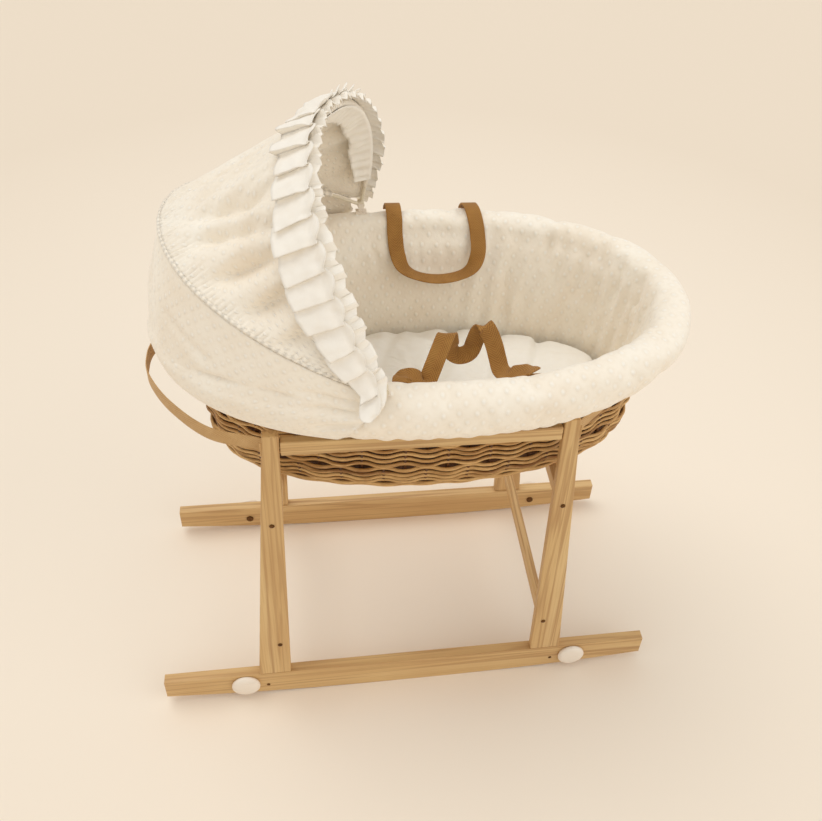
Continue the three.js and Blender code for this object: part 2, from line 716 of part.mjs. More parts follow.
function hoopPoint({ halfWidth, height, power, skewLength }, lean, turn, out = 0) {
  const reach = (height + out) * Math.sin(turn) ** (2 / power);
  const aside = Math.sign(Math.cos(turn)) * Math.abs(Math.cos(turn)) ** (2 / power);
  const tilt = lean * toRadians;
  const skew = skewLength * Math.sin(2 * turn);
  return new THREE.Vector3(
    hood.pivotX - reach * Math.sin(tilt) - skew, -(halfWidth + out) * aside, pivotZ + reach * Math.cos(tilt),
  );
}

function makeHoop(size, lean) {
  const startShare = (hoopEye.radius - hoop.radius / 2) / size.height;
  const start = Math.asin(startShare ** (size.power / 2));
  const points = Array.from({ length: hoop.steps + 1 }, (_, i) => {
    return hoopPoint(size, lean, mix(start, Math.PI - start, i / hoop.steps));
  });
  const shape = new THREE.Shape().absarc(0, 0, hoop.radius, 0, 2 * Math.PI);
  const tube = new THREE.ExtrudeGeometry(shape, {
    steps: hoop.steps, curveSegments: hoop.sides, bevelEnabled: false,
    extrudePath: new THREE.CatmullRomCurve3(points, false, 'centripetal'),
  });
  const half = hoopEye.thickness / 2;
  const eyes = [front, back].map((side) => {
    const eye = rod(hoopEye.radius, hoopEye.thickness, hoopEye.sides);
    return eye.translate(hood.pivotX, side * size.halfWidth, pivotZ);
  });
  const bores = [front, back].map((side) => {
    const bore = rod(hoopEye.bore, hoopEye.thickness + 2 * overrun + half, hoopEye.sides);
    return bore.translate(hood.pivotX, side * size.halfWidth, pivotZ);
  });
  return cut(join(tube, ...eyes), ...bores);
}

// A sewn-down foot with one cheek that carries the pin of both hoops
function makeHinge(side) {
  const { length, width, thickness, cheek, cheekWidth } = hingeFoot;
  const bottom = crestRise + gap;
  const cheekY = side * (rearHoop.halfWidth - hoopEye.thickness / 2 - gap - cheek / 2);
  const plate = new THREE.BoxGeometry(length, width, thickness);
  plate.translate(hood.pivotX, side * (rearHoop.halfWidth - width / 4), bottom + thickness / 2);
  const wallHeight = pivotZ + hoopEye.radius * 0.5 - bottom;
  const wall = new THREE.BoxGeometry(cheekWidth, cheek, wallHeight);
  wall.translate(hood.pivotX, cheekY, bottom + wallHeight / 2);
  const pin = rod(hingePin.radius, hingePin.length, hingePin.sides);
  pin.translate(hood.pivotX, cheekY + side * (hingePin.length / 2), pivotZ);
  return join(plate, wall, pin);
}

function clothOut(thickness) {
  return hoop.radius + canopy.slack + thickness / 2;
}

function canopyPoint(along, turn, out) {
  const fore = hoopPoint(frontHoop, hood.frontLean, turn, out);
  const aft = hoopPoint(rearHoop, hood.rearLean, turn, out + frontHoop.halfWidth - rearHoop.halfWidth);
  return fore.lerp(aft, along);
}

function makeCanopy() {
  const { rows, columns, thickness, folds, foldDepth, sag, startTurn, drift, driftWaves, ridgePower } = canopy;
  const first = startTurn * toRadians;
  return sheet(rows, columns, thickness, (along, across) => {
    const turn = mix(first, Math.PI - first, across);
    const slackness = Math.max(Math.sin(Math.PI * along), 0) ** 0.6 * Math.sqrt(Math.sin(turn));
    const wave = 0.5 + 0.5 * Math.cos(2 * folds * turn + drift * Math.sin(driftWaves * turn));
    const fold = slackness * (foldDepth * (2 * wave ** ridgePower - 1) - sag);
    return canopyPoint(along, turn, clothOut(thickness) + fold);
  });
}

// Where along the rim's oval its near side is at an X value
function turnAt(x) {
  return 1.5 * Math.PI - Math.asin(Math.abs(x / basket.rimHalfLength) ** (basket.ovalPower / 2));
}

// Behind the rear hoop the cloth drops outside the padded rim to its hem
function makeRearPanel() {
  const { rows, columns, thickness, startTurn, standoff, bulge, topX, hemX } = rearPanel;
  const first = startTurn * toRadians;
  const lift = cover.ripple + standoff + thickness / 2;
  const [hem, low, middle, full, rim, shoulder] = coverOutside;
  return sheet(rows, columns, thickness, (along, across) => {
    const turn = mix(first, Math.PI - first, across);
    const beside = ([rise, out], drop) => {
      const nearEnd = turnAt(mix(topX, hemX, drop));
      return rimPoint(mix(nearEnd, Math.PI - nearEnd + Math.PI, across), rise, out + lift);
    };
    const shift = new THREE.Vector3(-thickness * Math.sin(turn), 0, -2 * thickness);
    const seam = canopyPoint(1, turn, clothOut(thickness)).add(shift);
    const over = beside(shoulder, 0);
    const belly = over.clone().lerp(seam, 0.45).add(new THREE.Vector3(-bulge * Math.sin(turn), 0, 0));
    const route = new THREE.CatmullRomCurve3([
      seam, belly, over, beside(rim, 0.2), beside(full, 0.4), beside(middle, 0.65), beside(low, 0.9),
    ], false, 'centripetal');
    return route.getPointAt(along);
  });
}

function makeRuffle() {
  const { thickness, ahead, behind, curl, waves, waveDepth, rows, stepsPerWave } = ruffle;
  const first = ruffle.startTurn * toRadians;
  return sheet(rows, waves * stepsPerWave, thickness, (along, across) => {
    const turn = mix(first, Math.PI - first, across);
    const nearEnd = Math.min(turn, Math.PI - turn) / (ruffle.taperTurn * toRadians);
    const size = mix(ruffle.endWidthShare, 1, smooth(nearEnd));
    const edge = Math.abs(2 * along - 1);
    const forwards = ahead * mix(1, ruffle.apexAheadShare, Math.sin(turn));
    const rearwards = mix(-forwards, behind, along) * size;
    const out = clothOut(canopy.thickness) + canopy.thickness / 2 + ruffle.standoff
      + waveDepth * size * edge * (1 + Math.sin(2 * Math.PI * waves * across)) + curl * Math.min(rearwards, 0);
    const fore = hoopPoint(frontHoop, hood.frontLean, turn, out);
    const aft = hoopPoint(rearHoop, hood.rearLean, turn, out + frontHoop.halfWidth - rearHoop.halfWidth);
    const rearward = aft.sub(fore).normalize();
    return fore.addScaledVector(rearward, rearwards);
  });
}

const waistRing = basketRing(roundSection(waist.height, waist.radius, waist.sides));
const rimRing = basketRing(roundSection(basket.height, rimBorder.radius, rimBorder.sides));

const basketGroup = new THREE.Group();
basketGroup.position.set(basket.shift, 0, seatHeight);
basketGroup.add(
  named('basket_base', makeBase(), wicker),
  named('basket_lower_wall', makeLowerWall(), wicker),
  named('basket_waist_border', waistRing, wicker),
  named('basket_stake_band', makeStakeBand(), wicker),
  named('basket_rim_border', rimRing, wicker),
  named('rim_cover', makeRimCover(), dimpleCloth),
  named('basket_liner', makeLiner(), dimpleCloth),
  named('mattress', makeMattress(), smoothCloth),
  named('handle_back', makeBackHandle(), brownWebbing),
  named('handle_front', makeFrontHandle(), brownWebbing),
);
for (const side of [front, back]) {
  const route = side === back ? backHandleRoute : frontHandleRoute;
  for (const end of [head, foot]) {
    const start = end === head ? route[0] : route[route.length - 1];
    const name = `handle_tab_${sideNames[side]}_${endNames[end]}`;
    basketGroup.add(named(name, makeTab(side, start), brownWebbing));
  }
}

const hoodGroup = new THREE.Group();
hoodGroup.add(
  named('hood_front_hoop', makeHoop(frontHoop, hood.frontLean), cane),
  named('hood_rear_hoop', makeHoop(rearHoop, hood.rearLean), cane),
  named('hood_hinge_front', makeHinge(front), creamPlastic),
  named('hood_hinge_back', makeHinge(back), creamPlastic),
  named('hood_canopy', makeCanopy(), dimpleCloth),
  named('hood_rear_panel', makeRearPanel(), dimpleCloth),
  named('hood_ruffle', makeRuffle(), smoothCloth),
);
basketGroup.add(hoodGroup);

const mosesBasket = new THREE.Group();
mosesBasket.add(stand, basketGroup);

export default mosesBasket;
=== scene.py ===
import math
import bmesh
import bpy
from mathutils import Matrix, Vector, noise


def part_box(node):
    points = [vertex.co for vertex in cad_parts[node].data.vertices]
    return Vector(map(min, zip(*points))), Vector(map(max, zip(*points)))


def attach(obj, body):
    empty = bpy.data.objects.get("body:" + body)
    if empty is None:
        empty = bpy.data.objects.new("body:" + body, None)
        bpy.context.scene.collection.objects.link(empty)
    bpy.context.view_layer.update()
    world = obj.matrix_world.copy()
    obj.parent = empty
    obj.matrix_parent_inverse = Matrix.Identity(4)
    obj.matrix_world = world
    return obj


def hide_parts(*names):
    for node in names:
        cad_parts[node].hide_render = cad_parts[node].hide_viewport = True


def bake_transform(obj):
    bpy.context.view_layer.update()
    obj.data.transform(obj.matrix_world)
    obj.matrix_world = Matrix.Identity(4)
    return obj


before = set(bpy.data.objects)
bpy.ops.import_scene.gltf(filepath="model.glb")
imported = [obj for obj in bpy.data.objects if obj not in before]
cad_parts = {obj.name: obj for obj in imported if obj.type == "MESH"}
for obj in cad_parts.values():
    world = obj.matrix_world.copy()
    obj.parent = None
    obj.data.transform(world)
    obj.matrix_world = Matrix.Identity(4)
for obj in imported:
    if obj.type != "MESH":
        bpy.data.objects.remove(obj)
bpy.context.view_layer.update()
pi = math.pi


# places and curves

def mix(a, b, share):
    return a + (b - a) * share


def smooth(share):
    share = min(max(share, 0.0), 1.0)
    return share * share * (3 - 2 * share)


def signedPower(value, power):
    return math.copysign(abs(value) ** power, value)


def lumps(point, size, seed=0.0):  # soft noise about 0, at a size in metres
    return noise.noise(Vector(point) / size + Vector((seed, seed * 1.7, -seed)))


def crease(place, start, end, width, depth):  # a soft groove along a line in the frame
    start, end = Vector(start), Vector(end)
    line = end - start
    share = min(max((place - start).dot(line) / line.length_squared, 0.0), 1.0)
    away = (place - (start + line * share)).length
    return -depth * math.exp(-((away / width) ** 2)) * math.sin(pi * mix(0.12, 0.88, share))


# evenly spaced points on a smooth curve through the keys; places, if given, gets where each lies among them
def smoothPath(keys, count, closed=False, places=None):
    keys = [Vector(k) for k in keys]
    total = len(keys)
    stepsPerKey = 8
    dense = []
    for i in range(total if closed else total - 1):
        if closed:
            a, b, c, d = (keys[(i + k) % total] for k in (-1, 0, 1, 2))
        else:
            a, b, c, d = (keys[min(max(i + k, 0), total - 1)] for k in (-1, 0, 1, 2))
        for step in range(stepsPerKey):
            t = step / stepsPerKey
            dense.append(0.5 * ((2 * b) + (c - a) * t + (2 * a - 5 * b + 4 * c - d) * t * t
                                + (3 * b - a - 3 * c + d) * t * t * t))
    dense.append(keys[0] if closed else keys[-1])
    reach = [0.0]
    for a, b in zip(dense, dense[1:]):
        reach.append(reach[-1] + (b - a).length)
    made, at = [], 0
    for i in range(count + 1):
        wanted = reach[-1] * i / count
        while at < len(reach) - 2 and reach[at + 1] < wanted:
            at += 1
        step = reach[at + 1] - reach[at] or 1.0
        made.append(dense[at].lerp(dense[at + 1], (wanted - reach[at]) / step))
        if places is not None:
            places.append((at + (wanted - reach[at]) / step) / stepsPerKey)
    return made


# shader nodes as expressions

def tint(red, green, blue):  # a colour as it reads on a screen, 0 to 255
    def linear(v):
        v /= 255
        return v / 12.92 if v <= 0.04045 else ((v + 0.055) / 1.055) ** 2.4
    return (linear(red), linear(green), linear(blue), 1.0)


class Wire:
    def __init__(self, finish, socket):
        self.finish, self.socket = finish, socket

    def maths(self, operation, a, b=None):
        values = {0: a} if b is None else {0: a, 1: b}
        return self.finish.node("ShaderNodeMath", {"operation": operation}, values)

    def __add__(self, other):
        return self.maths("ADD", self, other)

    def __radd__(self, other):
        return self.maths("ADD", other, self)

    def __sub__(self, other):
        return self.maths("SUBTRACT", self, other)

    def __rsub__(self, other):
        return self.maths("SUBTRACT", other, self)

    def __mul__(self, other):
        return self.maths("MULTIPLY", self, other)

    def __rmul__(self, other):
        return self.maths("MULTIPLY", other, self)

    def sine(self):
        return self.maths("SINE", self)

    def size(self):
        return self.maths("ABSOLUTE", self)


class Finish:
    def __init__(self, name, color, roughness, **shaderValues):
        self.material = bpy.data.materials.new(name)
        self.material.use_nodes = True
        self.tree = self.material.node_tree
        self.shader = self.tree.nodes["Principled BSDF"]
        self.shader.inputs["Base Color"].default_value = color
        self.shader.inputs["Roughness"].default_value = roughness
        for key, value in shaderValues.items():
            self.shader.inputs[key.replace("_", " ")].default_value = value

    def node(self, kind, settings=None, values=None, output=0):
        made = self.tree.nodes.new(kind)
        for key, value in (settings or {}).items():
            if key == "stops":
                ramp = made.color_ramp
                while len(ramp.elements) < len(value):
                    ramp.elements.new(0.5)
                for element, (place, color) in zip(ramp.elements, value):
                    element.position, element.color = place, color
            else:
                setattr(made, key, value)
        for key, value in (values or {}).items():
            if isinstance(value, Wire):
                self.tree.links.new(value.socket, made.inputs[key])
            else:
                made.inputs[key].default_value = value
        return Wire(self, made.outputs[output])

    def place(self, scale=(1, 1, 1), turn=(0, 0, 0), source="Object"):
        where = self.node("ShaderNodeTexCoord", output=source)
        return self.node("ShaderNodeMapping", values={"Vector": where, "Rotation": turn, "Scale": scale})

    def noise(self, where, scale=1.0, detail=2.0, rough=0.5, distortion=0.0):
        return self.node("ShaderNodeTexNoise", values={
            "Vector": where, "Scale": scale, "Detail": detail, "Roughness": rough, "Distortion": distortion})

    def ramp(self, value, stops):
        return self.node("ShaderNodeValToRGB", {"stops": stops}, {"Fac": value})

    def span(self, value, low, high, first=0.0, last=1.0):
        return self.node("ShaderNodeMapRange", {"clamp": True}, {
            "Value": value, "From Min": low, "From Max": high, "To Min": first, "To Max": last})

    def blendColors(self, share, a, b):  # 0, 6, 7 and 2 are the Mix node's sockets for colours
        return self.node("ShaderNodeMix", {"data_type": "RGBA"}, {0: share, 6: a, 7: b}, output=2)

    def bump(self, height, distance, strength=1.0, under=None):
        values = {"Height": height, "Distance": distance, "Strength": strength}
        if under is not None:
            values["Normal"] = under
        return self.node("ShaderNodeBump", None, values)

    def feed(self, **links):
        for key, wire in links.items():
            self.tree.links.new(wire.socket, self.shader.inputs[key.replace("_", " ")])
        return self.material


def pineFinish(name, axis):
    finish = Finish(name, tint(205, 165, 110), 0.5, Coat_Roughness=0.4)
    stretch = {"X": (0.9, 36, 36), "Y": (36, 0.9, 36), "Z": (36, 36, 0.9)}[axis]
    fine = {"X": (6, 420, 420), "Y": (420, 6, 420), "Z": (420, 420, 6)}[axis]
    where = finish.place(stretch)
    wander = finish.noise(where, 0.6, 3, 0.5, 0.3)
    rings = finish.noise(where, 1.1, 3, 0.5, 0.35)
    lines = (rings * 38 + wander * 9).sine()
    dark = finish.span(lines, 0.1, 1.0) * finish.span(wander, 0.3, 0.62, 0.35, 1.0)
    pores = finish.noise(finish.place(fine), 1.0, 2, 0.6)
    broad = finish.noise(finish.place((3, 3, 3)), 1.6, 2)
    ground = finish.ramp(wander, [
        (0.25, tint(197, 156, 101)), (0.5, tint(217, 181, 124)), (0.78, tint(229, 199, 146))])
    grained = finish.blendColors(dark * 0.62, ground, tint(158, 110, 62))
    speckled = finish.blendColors(finish.span(pores, 0.5, 0.75) * 0.45, grained, tint(172, 126, 76))
    toned = finish.blendColors(finish.span(broad, 0.35, 0.7) * 0.3, speckled, tint(188, 142, 90))
    height = pores * 0.5 + dark * 0.5
    return finish.feed(Base_Color=toned, Roughness=finish.span(pores, 0.3, 0.7, 0.42, 0.62),
                       Normal=finish.bump(height, 0.0006, 0.5))


def wickerFinish(name, light, middle, dark):
    finish = Finish(name, middle, 0.5)
    rods = finish.noise(finish.place((5, 5, 120)), 1.0, 3, 0.6)
    streaks = finish.noise(finish.place((70, 70, 460)), 1.0, 3, 0.6)
    patches = finish.noise(finish.place((30, 30, 60)), 1.0, 3, 0.6)
    ground = finish.ramp(rods, [(0.34, dark), (0.47, middle), (0.6, light)])
    streaked = finish.blendColors(finish.span(streaks, 0.42, 0.7) * 0.55, ground, dark)
    toned = finish.blendColors(finish.span(patches, 0.48, 0.72) * 0.55, streaked, light)
    return finish.feed(Base_Color=toned, Roughness=finish.span(streaks, 0.3, 0.7, 0.38, 0.66),
                       Normal=finish.bump(streaks, 0.0008, 0.6))


def plushFinish(name, dotSpacing, dotSize, dotHeight):  # short pile with raised dots in staggered rows
    finish = Finish(name, tint(252, 243, 227), 0.95, Sheen_Weight=0.3, Sheen_Roughness=0.5)
    turned = finish.place((1 / dotSpacing,) * 3, (0, 0, pi / 4), "UV")
    wander = finish.noise(finish.place(source="UV"), 30, 1, 0.5)
    reach = finish.node("ShaderNodeTexVoronoi", {"voronoi_dimensions": "2D", "feature": "F1"},
                        {"Vector": turned, "Scale": 1.0, "Randomness": 0.22})
    dots = finish.span(reach, dotSize * 0.62 / dotSpacing, dotSize * 0.15 / dotSpacing)
    rim = finish.span(reach, dotSize * 1.2 / dotSpacing, dotSize * 0.62 / dotSpacing)
    shown = finish.span(wander, 0.25, 0.6, 0.45, 1.0)
    pile = finish.noise(finish.place(), 900, 2, 0.7)
    clumps = finish.noise(finish.place(), 130, 3, 0.6)
    patches = finish.noise(finish.place(), 12, 3, 0.6)
    ground = finish.ramp(patches, [
        (0.3, tint(248, 236, 217)), (0.55, tint(252, 243, 227)), (0.8, tint(254, 248, 235))])
    shaded = finish.blendColors(rim * (1 - dots) * shown * 0.16, ground, tint(230, 212, 184))
    lit = finish.blendColors(dots * shown * 0.6, shaded, tint(254, 250, 241))
    mottled = finish.blendColors(finish.span(clumps, 0.55, 0.8) * 0.16, lit, tint(236, 221, 196))
    soft = finish.bump(clumps, 0.0014, 0.5)
    raised = finish.bump(dots * shown, dotHeight, 0.7, soft)
    return finish.feed(Base_Color=mottled, Normal=finish.bump(pile, 0.0005, 0.35, raised))


def cottonFinish(name, color, shade):
    finish = Finish(name, color, 0.9, Sheen_Weight=0.15)
    threads = finish.place(source="UV")
    across = finish.node("ShaderNodeTexWave", {"bands_direction": "X"}, {"Vector": threads, "Scale": 420.0})
    along = finish.node("ShaderNodeTexWave", {"bands_direction": "Y"}, {"Vector": threads, "Scale": 420.0})
    slubs = finish.noise(finish.place(), 60, 3, 0.6)
    toned = finish.blendColors(finish.span(slubs, 0.45, 0.8) * 0.35, color, shade)
    creases = finish.bump(slubs, 0.0012, 0.35)
    return finish.feed(Base_Color=toned, Normal=finish.bump(across * along, 0.0002, 0.3, creases))


def webbingFinish(name, light, middle, dark, rib):  # diagonal ribs woven over a band's width
    finish = Finish(name, middle, 0.8, Sheen_Weight=0.1)
    flat = finish.place(source="UV")
    apart = finish.node("ShaderNodeSeparateXYZ", None, {"Vector": flat})
    u = Wire(finish, apart.socket.node.outputs["X"])
    v = Wire(finish, apart.socket.node.outputs["Y"])
    ribs = ((u.size() * (2 * pi / rib)) + v * (2 * pi / rib)).sine()
    threads = (v * (2 * pi / (rib * 0.55))).sine()
    worn = finish.noise(finish.place(), 45, 3, 0.6)
    weave = finish.span(ribs * 0.6 + threads * 0.4, -0.9, 0.9)
    ground = finish.blendColors(weave, dark, middle)
    toned = finish.blendColors(finish.span(worn, 0.4, 0.8) * 0.4, ground, light)
    return finish.feed(Base_Color=toned, Roughness=finish.span(weave, 0, 1, 0.9, 0.75),
                       Normal=finish.bump(weave, 0.0006, 0.7))


def plasticFinish(name, color, shade, roughness):
    finish = Finish(name, color, roughness, Coat_Roughness=0.3)
    specks = finish.noise(finish.place(), 220, 3, 0.6)
    scuffs = finish.noise(finish.place((30, 30, 90)), 1.0, 4, 0.7)
    toned = finish.blendColors(finish.span(scuffs, 0.5, 0.85) * 0.35, color, shade)
    return finish.feed(Base_Color=toned, Roughness=finish.span(scuffs, 0.3, 0.8, roughness, roughness + 0.15),
                       Normal=finish.bump(specks, 0.0002, 0.3))


def metalFinish(name, color, shade):
    finish = Finish(name, color, 0.4, Metallic=0.9)
    brushed = finish.noise(finish.place((300, 300, 40)), 1.0, 3, 0.6)
    toned = finish.blendColors(finish.span(brushed, 0.35, 0.75), color, shade)
    return finish.feed(Base_Color=toned, Roughness=finish.span(brushed, 0.3, 0.8, 0.35, 0.55),
                       Normal=finish.bump(brushed, 0.0002, 0.4))


pineAlongX = pineFinish("pineAlongX", "X")
pineAlongY = pineFinish("pineAlongY", "Y")
pineAlongZ = pineFinish("pineAlongZ", "Z")
wickerRods = wickerFinish("wickerRods", tint(224, 182, 118), tint(196, 149, 87), tint(138, 91, 40))
wickerShade = wickerFinish("wickerShade", tint(104, 62, 22), tint(80, 44, 13), tint(56, 30, 9))
plush = plushFinish("dimpledPlush", 0.0165, 0.0066, 0.0013)
cotton = cottonFinish("whiteCotton", tint(252, 246, 235), tint(243, 232, 214))
mattressCotton = cottonFinish("mattressCotton", tint(253, 249, 240), tint(246, 238, 223))
brownWebbing = webbingFinish("brownWebbing", tint(196, 146, 74), tint(174, 124, 55), tint(134, 90, 37), 0.0042)
tanWebbing = webbingFinish("tanWebbing", tint(228, 192, 138), tint(212, 172, 116), tint(180, 138, 84), 0.0036)
creamPlastic = plasticFinish("creamPlastic", tint(242, 230, 214), tint(222, 207, 184), 0.42)
hoopPlastic = plasticFinish("hoopPlastic", tint(228, 216, 192), tint(204, 188, 158), 0.5)
screwMetal = metalFinish("screwMetal", tint(120, 84, 48), tint(84, 56, 30))
print("finishes made")


# pieces

def finishPiece(name, bm, material, body, nodes=(), smoothShading=True):
    mesh = bpy.data.meshes.new(name)
    bm.to_mesh(mesh)
    bm.free()
    return dressPiece(name, mesh, material, body, nodes, smoothShading)


def dressPiece(name, mesh, material, body, nodes=(), smoothShading=True):
    piece = bpy.data.objects.new(name, mesh)
    bpy.context.scene.collection.objects.link(piece)
    mesh.materials.append(material)
    if smoothShading:
        mesh.shade_smooth()
    if body:
        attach(piece, body)
    if nodes:
        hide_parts(*nodes)
    return piece


def gridSheet(rows, columns, pointAt, size):  # a grid laid on a surface; its UVs are in metres
    bm = bmesh.new()
    bm.loops.layers.uv.new("UVMap")
    bmesh.ops.create_grid(bm, x_segments=columns, y_segments=rows, size=0.5, calc_uvs=True)
    uvs = bm.loops.layers.uv.active
    for vert in bm.verts:
        vert.co = pointAt(vert.co.x + 0.5, vert.co.y + 0.5)
    for face in bm.faces:
        for loop in face.loops:
            loop[uvs].uv.x *= size[0]
            loop[uvs].uv.y *= size[1]
    return bm


def thicken(piece, thickness, edge=0.0):
    wall = piece.modifiers.new("wall", "SOLIDIFY")
    wall.thickness, wall.offset = thickness, 0.0
    if edge:
        rounding = piece.modifiers.new("edges", "BEVEL")
        rounding.width, rounding.segments, rounding.limit_method = edge, 2, "ANGLE"
        rounding.angle_limit = math.radians(60)


def sheetPiece(name, bm, material, body, node, thickness):
    bmesh.ops.recalc_face_normals(bm, faces=bm.faces)
    piece = finishPiece(name, bm, material, body, [node])
    thicken(piece, thickness)
    return piece


puff = {"frames": 16, "pressure": 3.5, "grow": 0.035, "quality": 5, "mass": 0.25, "bend": 0.35, "stretch": 18}


# lets a padded skin swell and wrinkle a little, keeping near where it started
def settle(piece, held, furthest):
    mesh = piece.data
    start = [v.co.copy() for v in mesh.vertices]
    group = piece.vertex_groups.new(name="held")
    for i, place in enumerate(start):
        group.add([i], held(place), "REPLACE")
    cloth = piece.modifiers.new("cloth", "CLOTH")
    values = cloth.settings
    values.quality, values.mass = puff["quality"], puff["mass"]
    values.tension_stiffness = values.compression_stiffness = values.shear_stiffness = puff["stretch"]
    values.bending_stiffness, values.shrink_min = puff["bend"], -puff["grow"]
    values.use_pressure, values.uniform_pressure_force = True, puff["pressure"]
    values.vertex_group_mass = "held"
    values.effector_weights.gravity = 0
    cloth.collision_settings.use_collision = False
    cloth.point_cache.frame_start, cloth.point_cache.frame_end = 1, puff["frames"]
    scene = bpy.context.scene
    for i in range(1, puff["frames"] + 1):
        scene.frame_set(i)
    shown = piece.evaluated_get(bpy.context.evaluated_depsgraph_get())
    moved = [v.co.copy() for v in shown.data.vertices]
    piece.modifiers.remove(cloth)
    scene.frame_set(1)
    for vert, place, first in zip(mesh.vertices, moved, start):
        step = place - first
        vert.co = first + step * min(1.0, furthest / max(step.length, 1e-9))
    piece.vertex_groups.clear()
    mesh.update()
    print("settled", piece.name)


def paddedPiece(name, bm, material, nodes, held, furthest):
    piece = finishPiece(name, bm, material, "basket", nodes)
    settle(piece, held, furthest)
    finer = piece.modifiers.new("finer", "SUBSURF")
    finer.levels = finer.render_levels = 1


# round rods or tubes along lines of points, each with its own share of the radius if it has a fourth value
def rodsPiece(name, lines, radius, material, body, nodes=(), closed=True, sides=2):
    curve = bpy.data.curves.new(name, "CURVE")
    curve.dimensions = "3D"
    curve.bevel_depth, curve.bevel_resolution, curve.use_fill_caps = radius, sides, not closed
    for line in lines:
        spline = curve.splines.new("POLY")
        spline.points.add(len(line) - 1)
        for point, place in zip(spline.points, line):
            point.co = (*place[:3], 1.0)
            point.radius = place[3] if len(place) > 3 else 1.0
        spline.use_cyclic_u = closed
    holder = bpy.data.objects.new(name + "Curve", curve)
    bpy.context.scene.collection.objects.link(holder)
    mesh = bpy.data.meshes.new_from_object(holder.evaluated_get(bpy.context.evaluated_depsgraph_get()))
    mesh.name = name
    bpy.data.objects.remove(holder)
    bpy.data.curves.remove(curve)
    mesh.materials.clear()
    return dressPiece(name, mesh, material, body, nodes)


# the stand

wood = {"edge": 0.0022, "edgeSegments": 3, "shortEdge": 0.006, "sharpDegrees": 40}


def softenedWood(node, material):  # the node's own shape with its long edges rounded over
    bm = bmesh.new()
    bm.from_mesh(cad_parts[node].data)
    bmesh.ops.remove_doubles(bm, verts=bm.verts, dist=2e-5)
    bmesh.ops.dissolve_limit(bm, angle_limit=math.radians(1.0), verts=bm.verts, edges=bm.edges)
    long = [e for e in bm.edges if e.is_manifold and e.calc_length() > wood["shortEdge"]
            and e.calc_face_angle() > math.radians(wood["sharpDegrees"])]
    bmesh.ops.bevel(bm, geom=long, offset=wood["edge"], offset_type="OFFSET", segments=wood["edgeSegments"],
                    profile=0.5, affect="EDGES", clamp_overlap=True, material=-1)
    finishPiece(node + "_wood", bm, material, "stand", [node], smoothShading=False)


def nodesCalled(*starts):
    return sorted(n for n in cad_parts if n.startswith(starts))


for material, starts in ((pineAlongX, ("rocker_front", "rocker_back", "top_rail")),
                         (pineAlongZ, ("leg_front", "leg_back")), (pineAlongY, ("cross_rail",))):
    for node in nodesCalled(*starts):
        softenedWood(node, material)

for material, starts in (  # nodes that keep their own mesh
        (pineAlongX, ("dowel",)), (screwMetal, ("leg_screw", "rocker_screw", "stopper_pin")),
        (creamPlastic, ("hood_hinge",)), (hoopPlastic, ("hood_front_hoop", "hood_rear_hoop")),
        (wickerRods, ("basket_base",))):
    for node in nodesCalled(*starts):
        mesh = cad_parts[node].data
        mesh.materials.clear()
        mesh.materials.append(material)
print("stand made")

stopperShape = {  # radius and height, from the crown's middle to the seat's
    "profile": [(0, 0.011), (0.0125, 0.01075), (0.018, 0.0098), (0.0225, 0.0082), (0.0246, 0.0062),
                (0.025, 0.0045), (0.0247, 0.002), (0.0235, 0.0004), (0.0225, 0.0), (0.0, 0.0)],
    "steps": 48,
}


def makeStopper(node):
    low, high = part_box(node)
    front = node.startswith("stopper_front")
    bm = bmesh.new()
    chain = [bm.verts.new((r, 0, h)) for r, h in stopperShape["profile"]]
    edges = [bm.edges.new(pair) for pair in zip(chain, chain[1:])]
    bmesh.ops.spin(bm, geom=chain + edges, axis=(0, 0, 1), cent=(0, 0, 0), angle=2 * pi,
                   steps=stopperShape["steps"], use_merge=True)
    bmesh.ops.remove_doubles(bm, verts=bm.verts, dist=1e-6)
    bmesh.ops.recalc_face_normals(bm, faces=bm.faces)
    centre = (low + high) / 2
    seat = high.y if front else low.y
    facing = Matrix.Rotation(pi / 2 if front else -pi / 2, 4, "X")
    place = Matrix.Translation((centre.x, seat, centre.z)) @ facing
    bmesh.ops.transform(bm, matrix=place, verts=bm.verts)
    finishPiece(node + "_disc", bm, creamPlastic, node, [node])


for node in nodesCalled("stopper_front", "stopper_back"):
    makeStopper(node)


# the basket's shape, as in the frame

shape = {
    "place": Vector((0.026, 0.0, 0.4773)), "height": 0.245, "midLength": 0.346, "midWidth": 0.172,
    "rimLength": 0.376, "rimWidth": 0.225, "corner": 0.036, "cornerHeight": 0.066,
    "flarePower": 4.5, "ovalPower": 2.15,
}


def wallHalf(height):
    share = min(max(height / shape["height"], 0.0), 1.0)
    low = 1 - min(max(height / shape["cornerHeight"], 0.0), 1.0)
    tuck = shape["corner"] * (1 - math.sqrt(max(1 - low * low, 0.0)))
    flare = share ** shape["flarePower"]
    return (mix(shape["midLength"], shape["rimLength"], flare) - tuck,
            mix(shape["midWidth"], shape["rimWidth"], flare) - tuck)


def outward(turn, height):
    length, width = wallHalf(height)
    power = shape["ovalPower"]
    x = signedPower(math.cos(turn), 2 / power)
    y = signedPower(math.sin(turn), 2 / power)
    return Vector((signedPower(x, power - 1) / length, signedPower(y, power - 1) / width, 0)).normalized()


def wallPoint(turn, height, out=0.0):
    length, width = wallHalf(height)
    power = shape["ovalPower"]
    x = length * signedPower(math.cos(turn), 2 / power)
    y = width * signedPower(math.sin(turn), 2 / power)
    return shape["place"] + Vector((x, y, height)) + outward(turn, height) * out


def flaredPoint(turn, rise, out=0.0):
    return wallPoint(turn, shape["height"] + rise, out)


def rimPoint(turn, rise, out=0.0):
    return wallPoint(turn, shape["height"], out) + Vector((0, 0, rise))


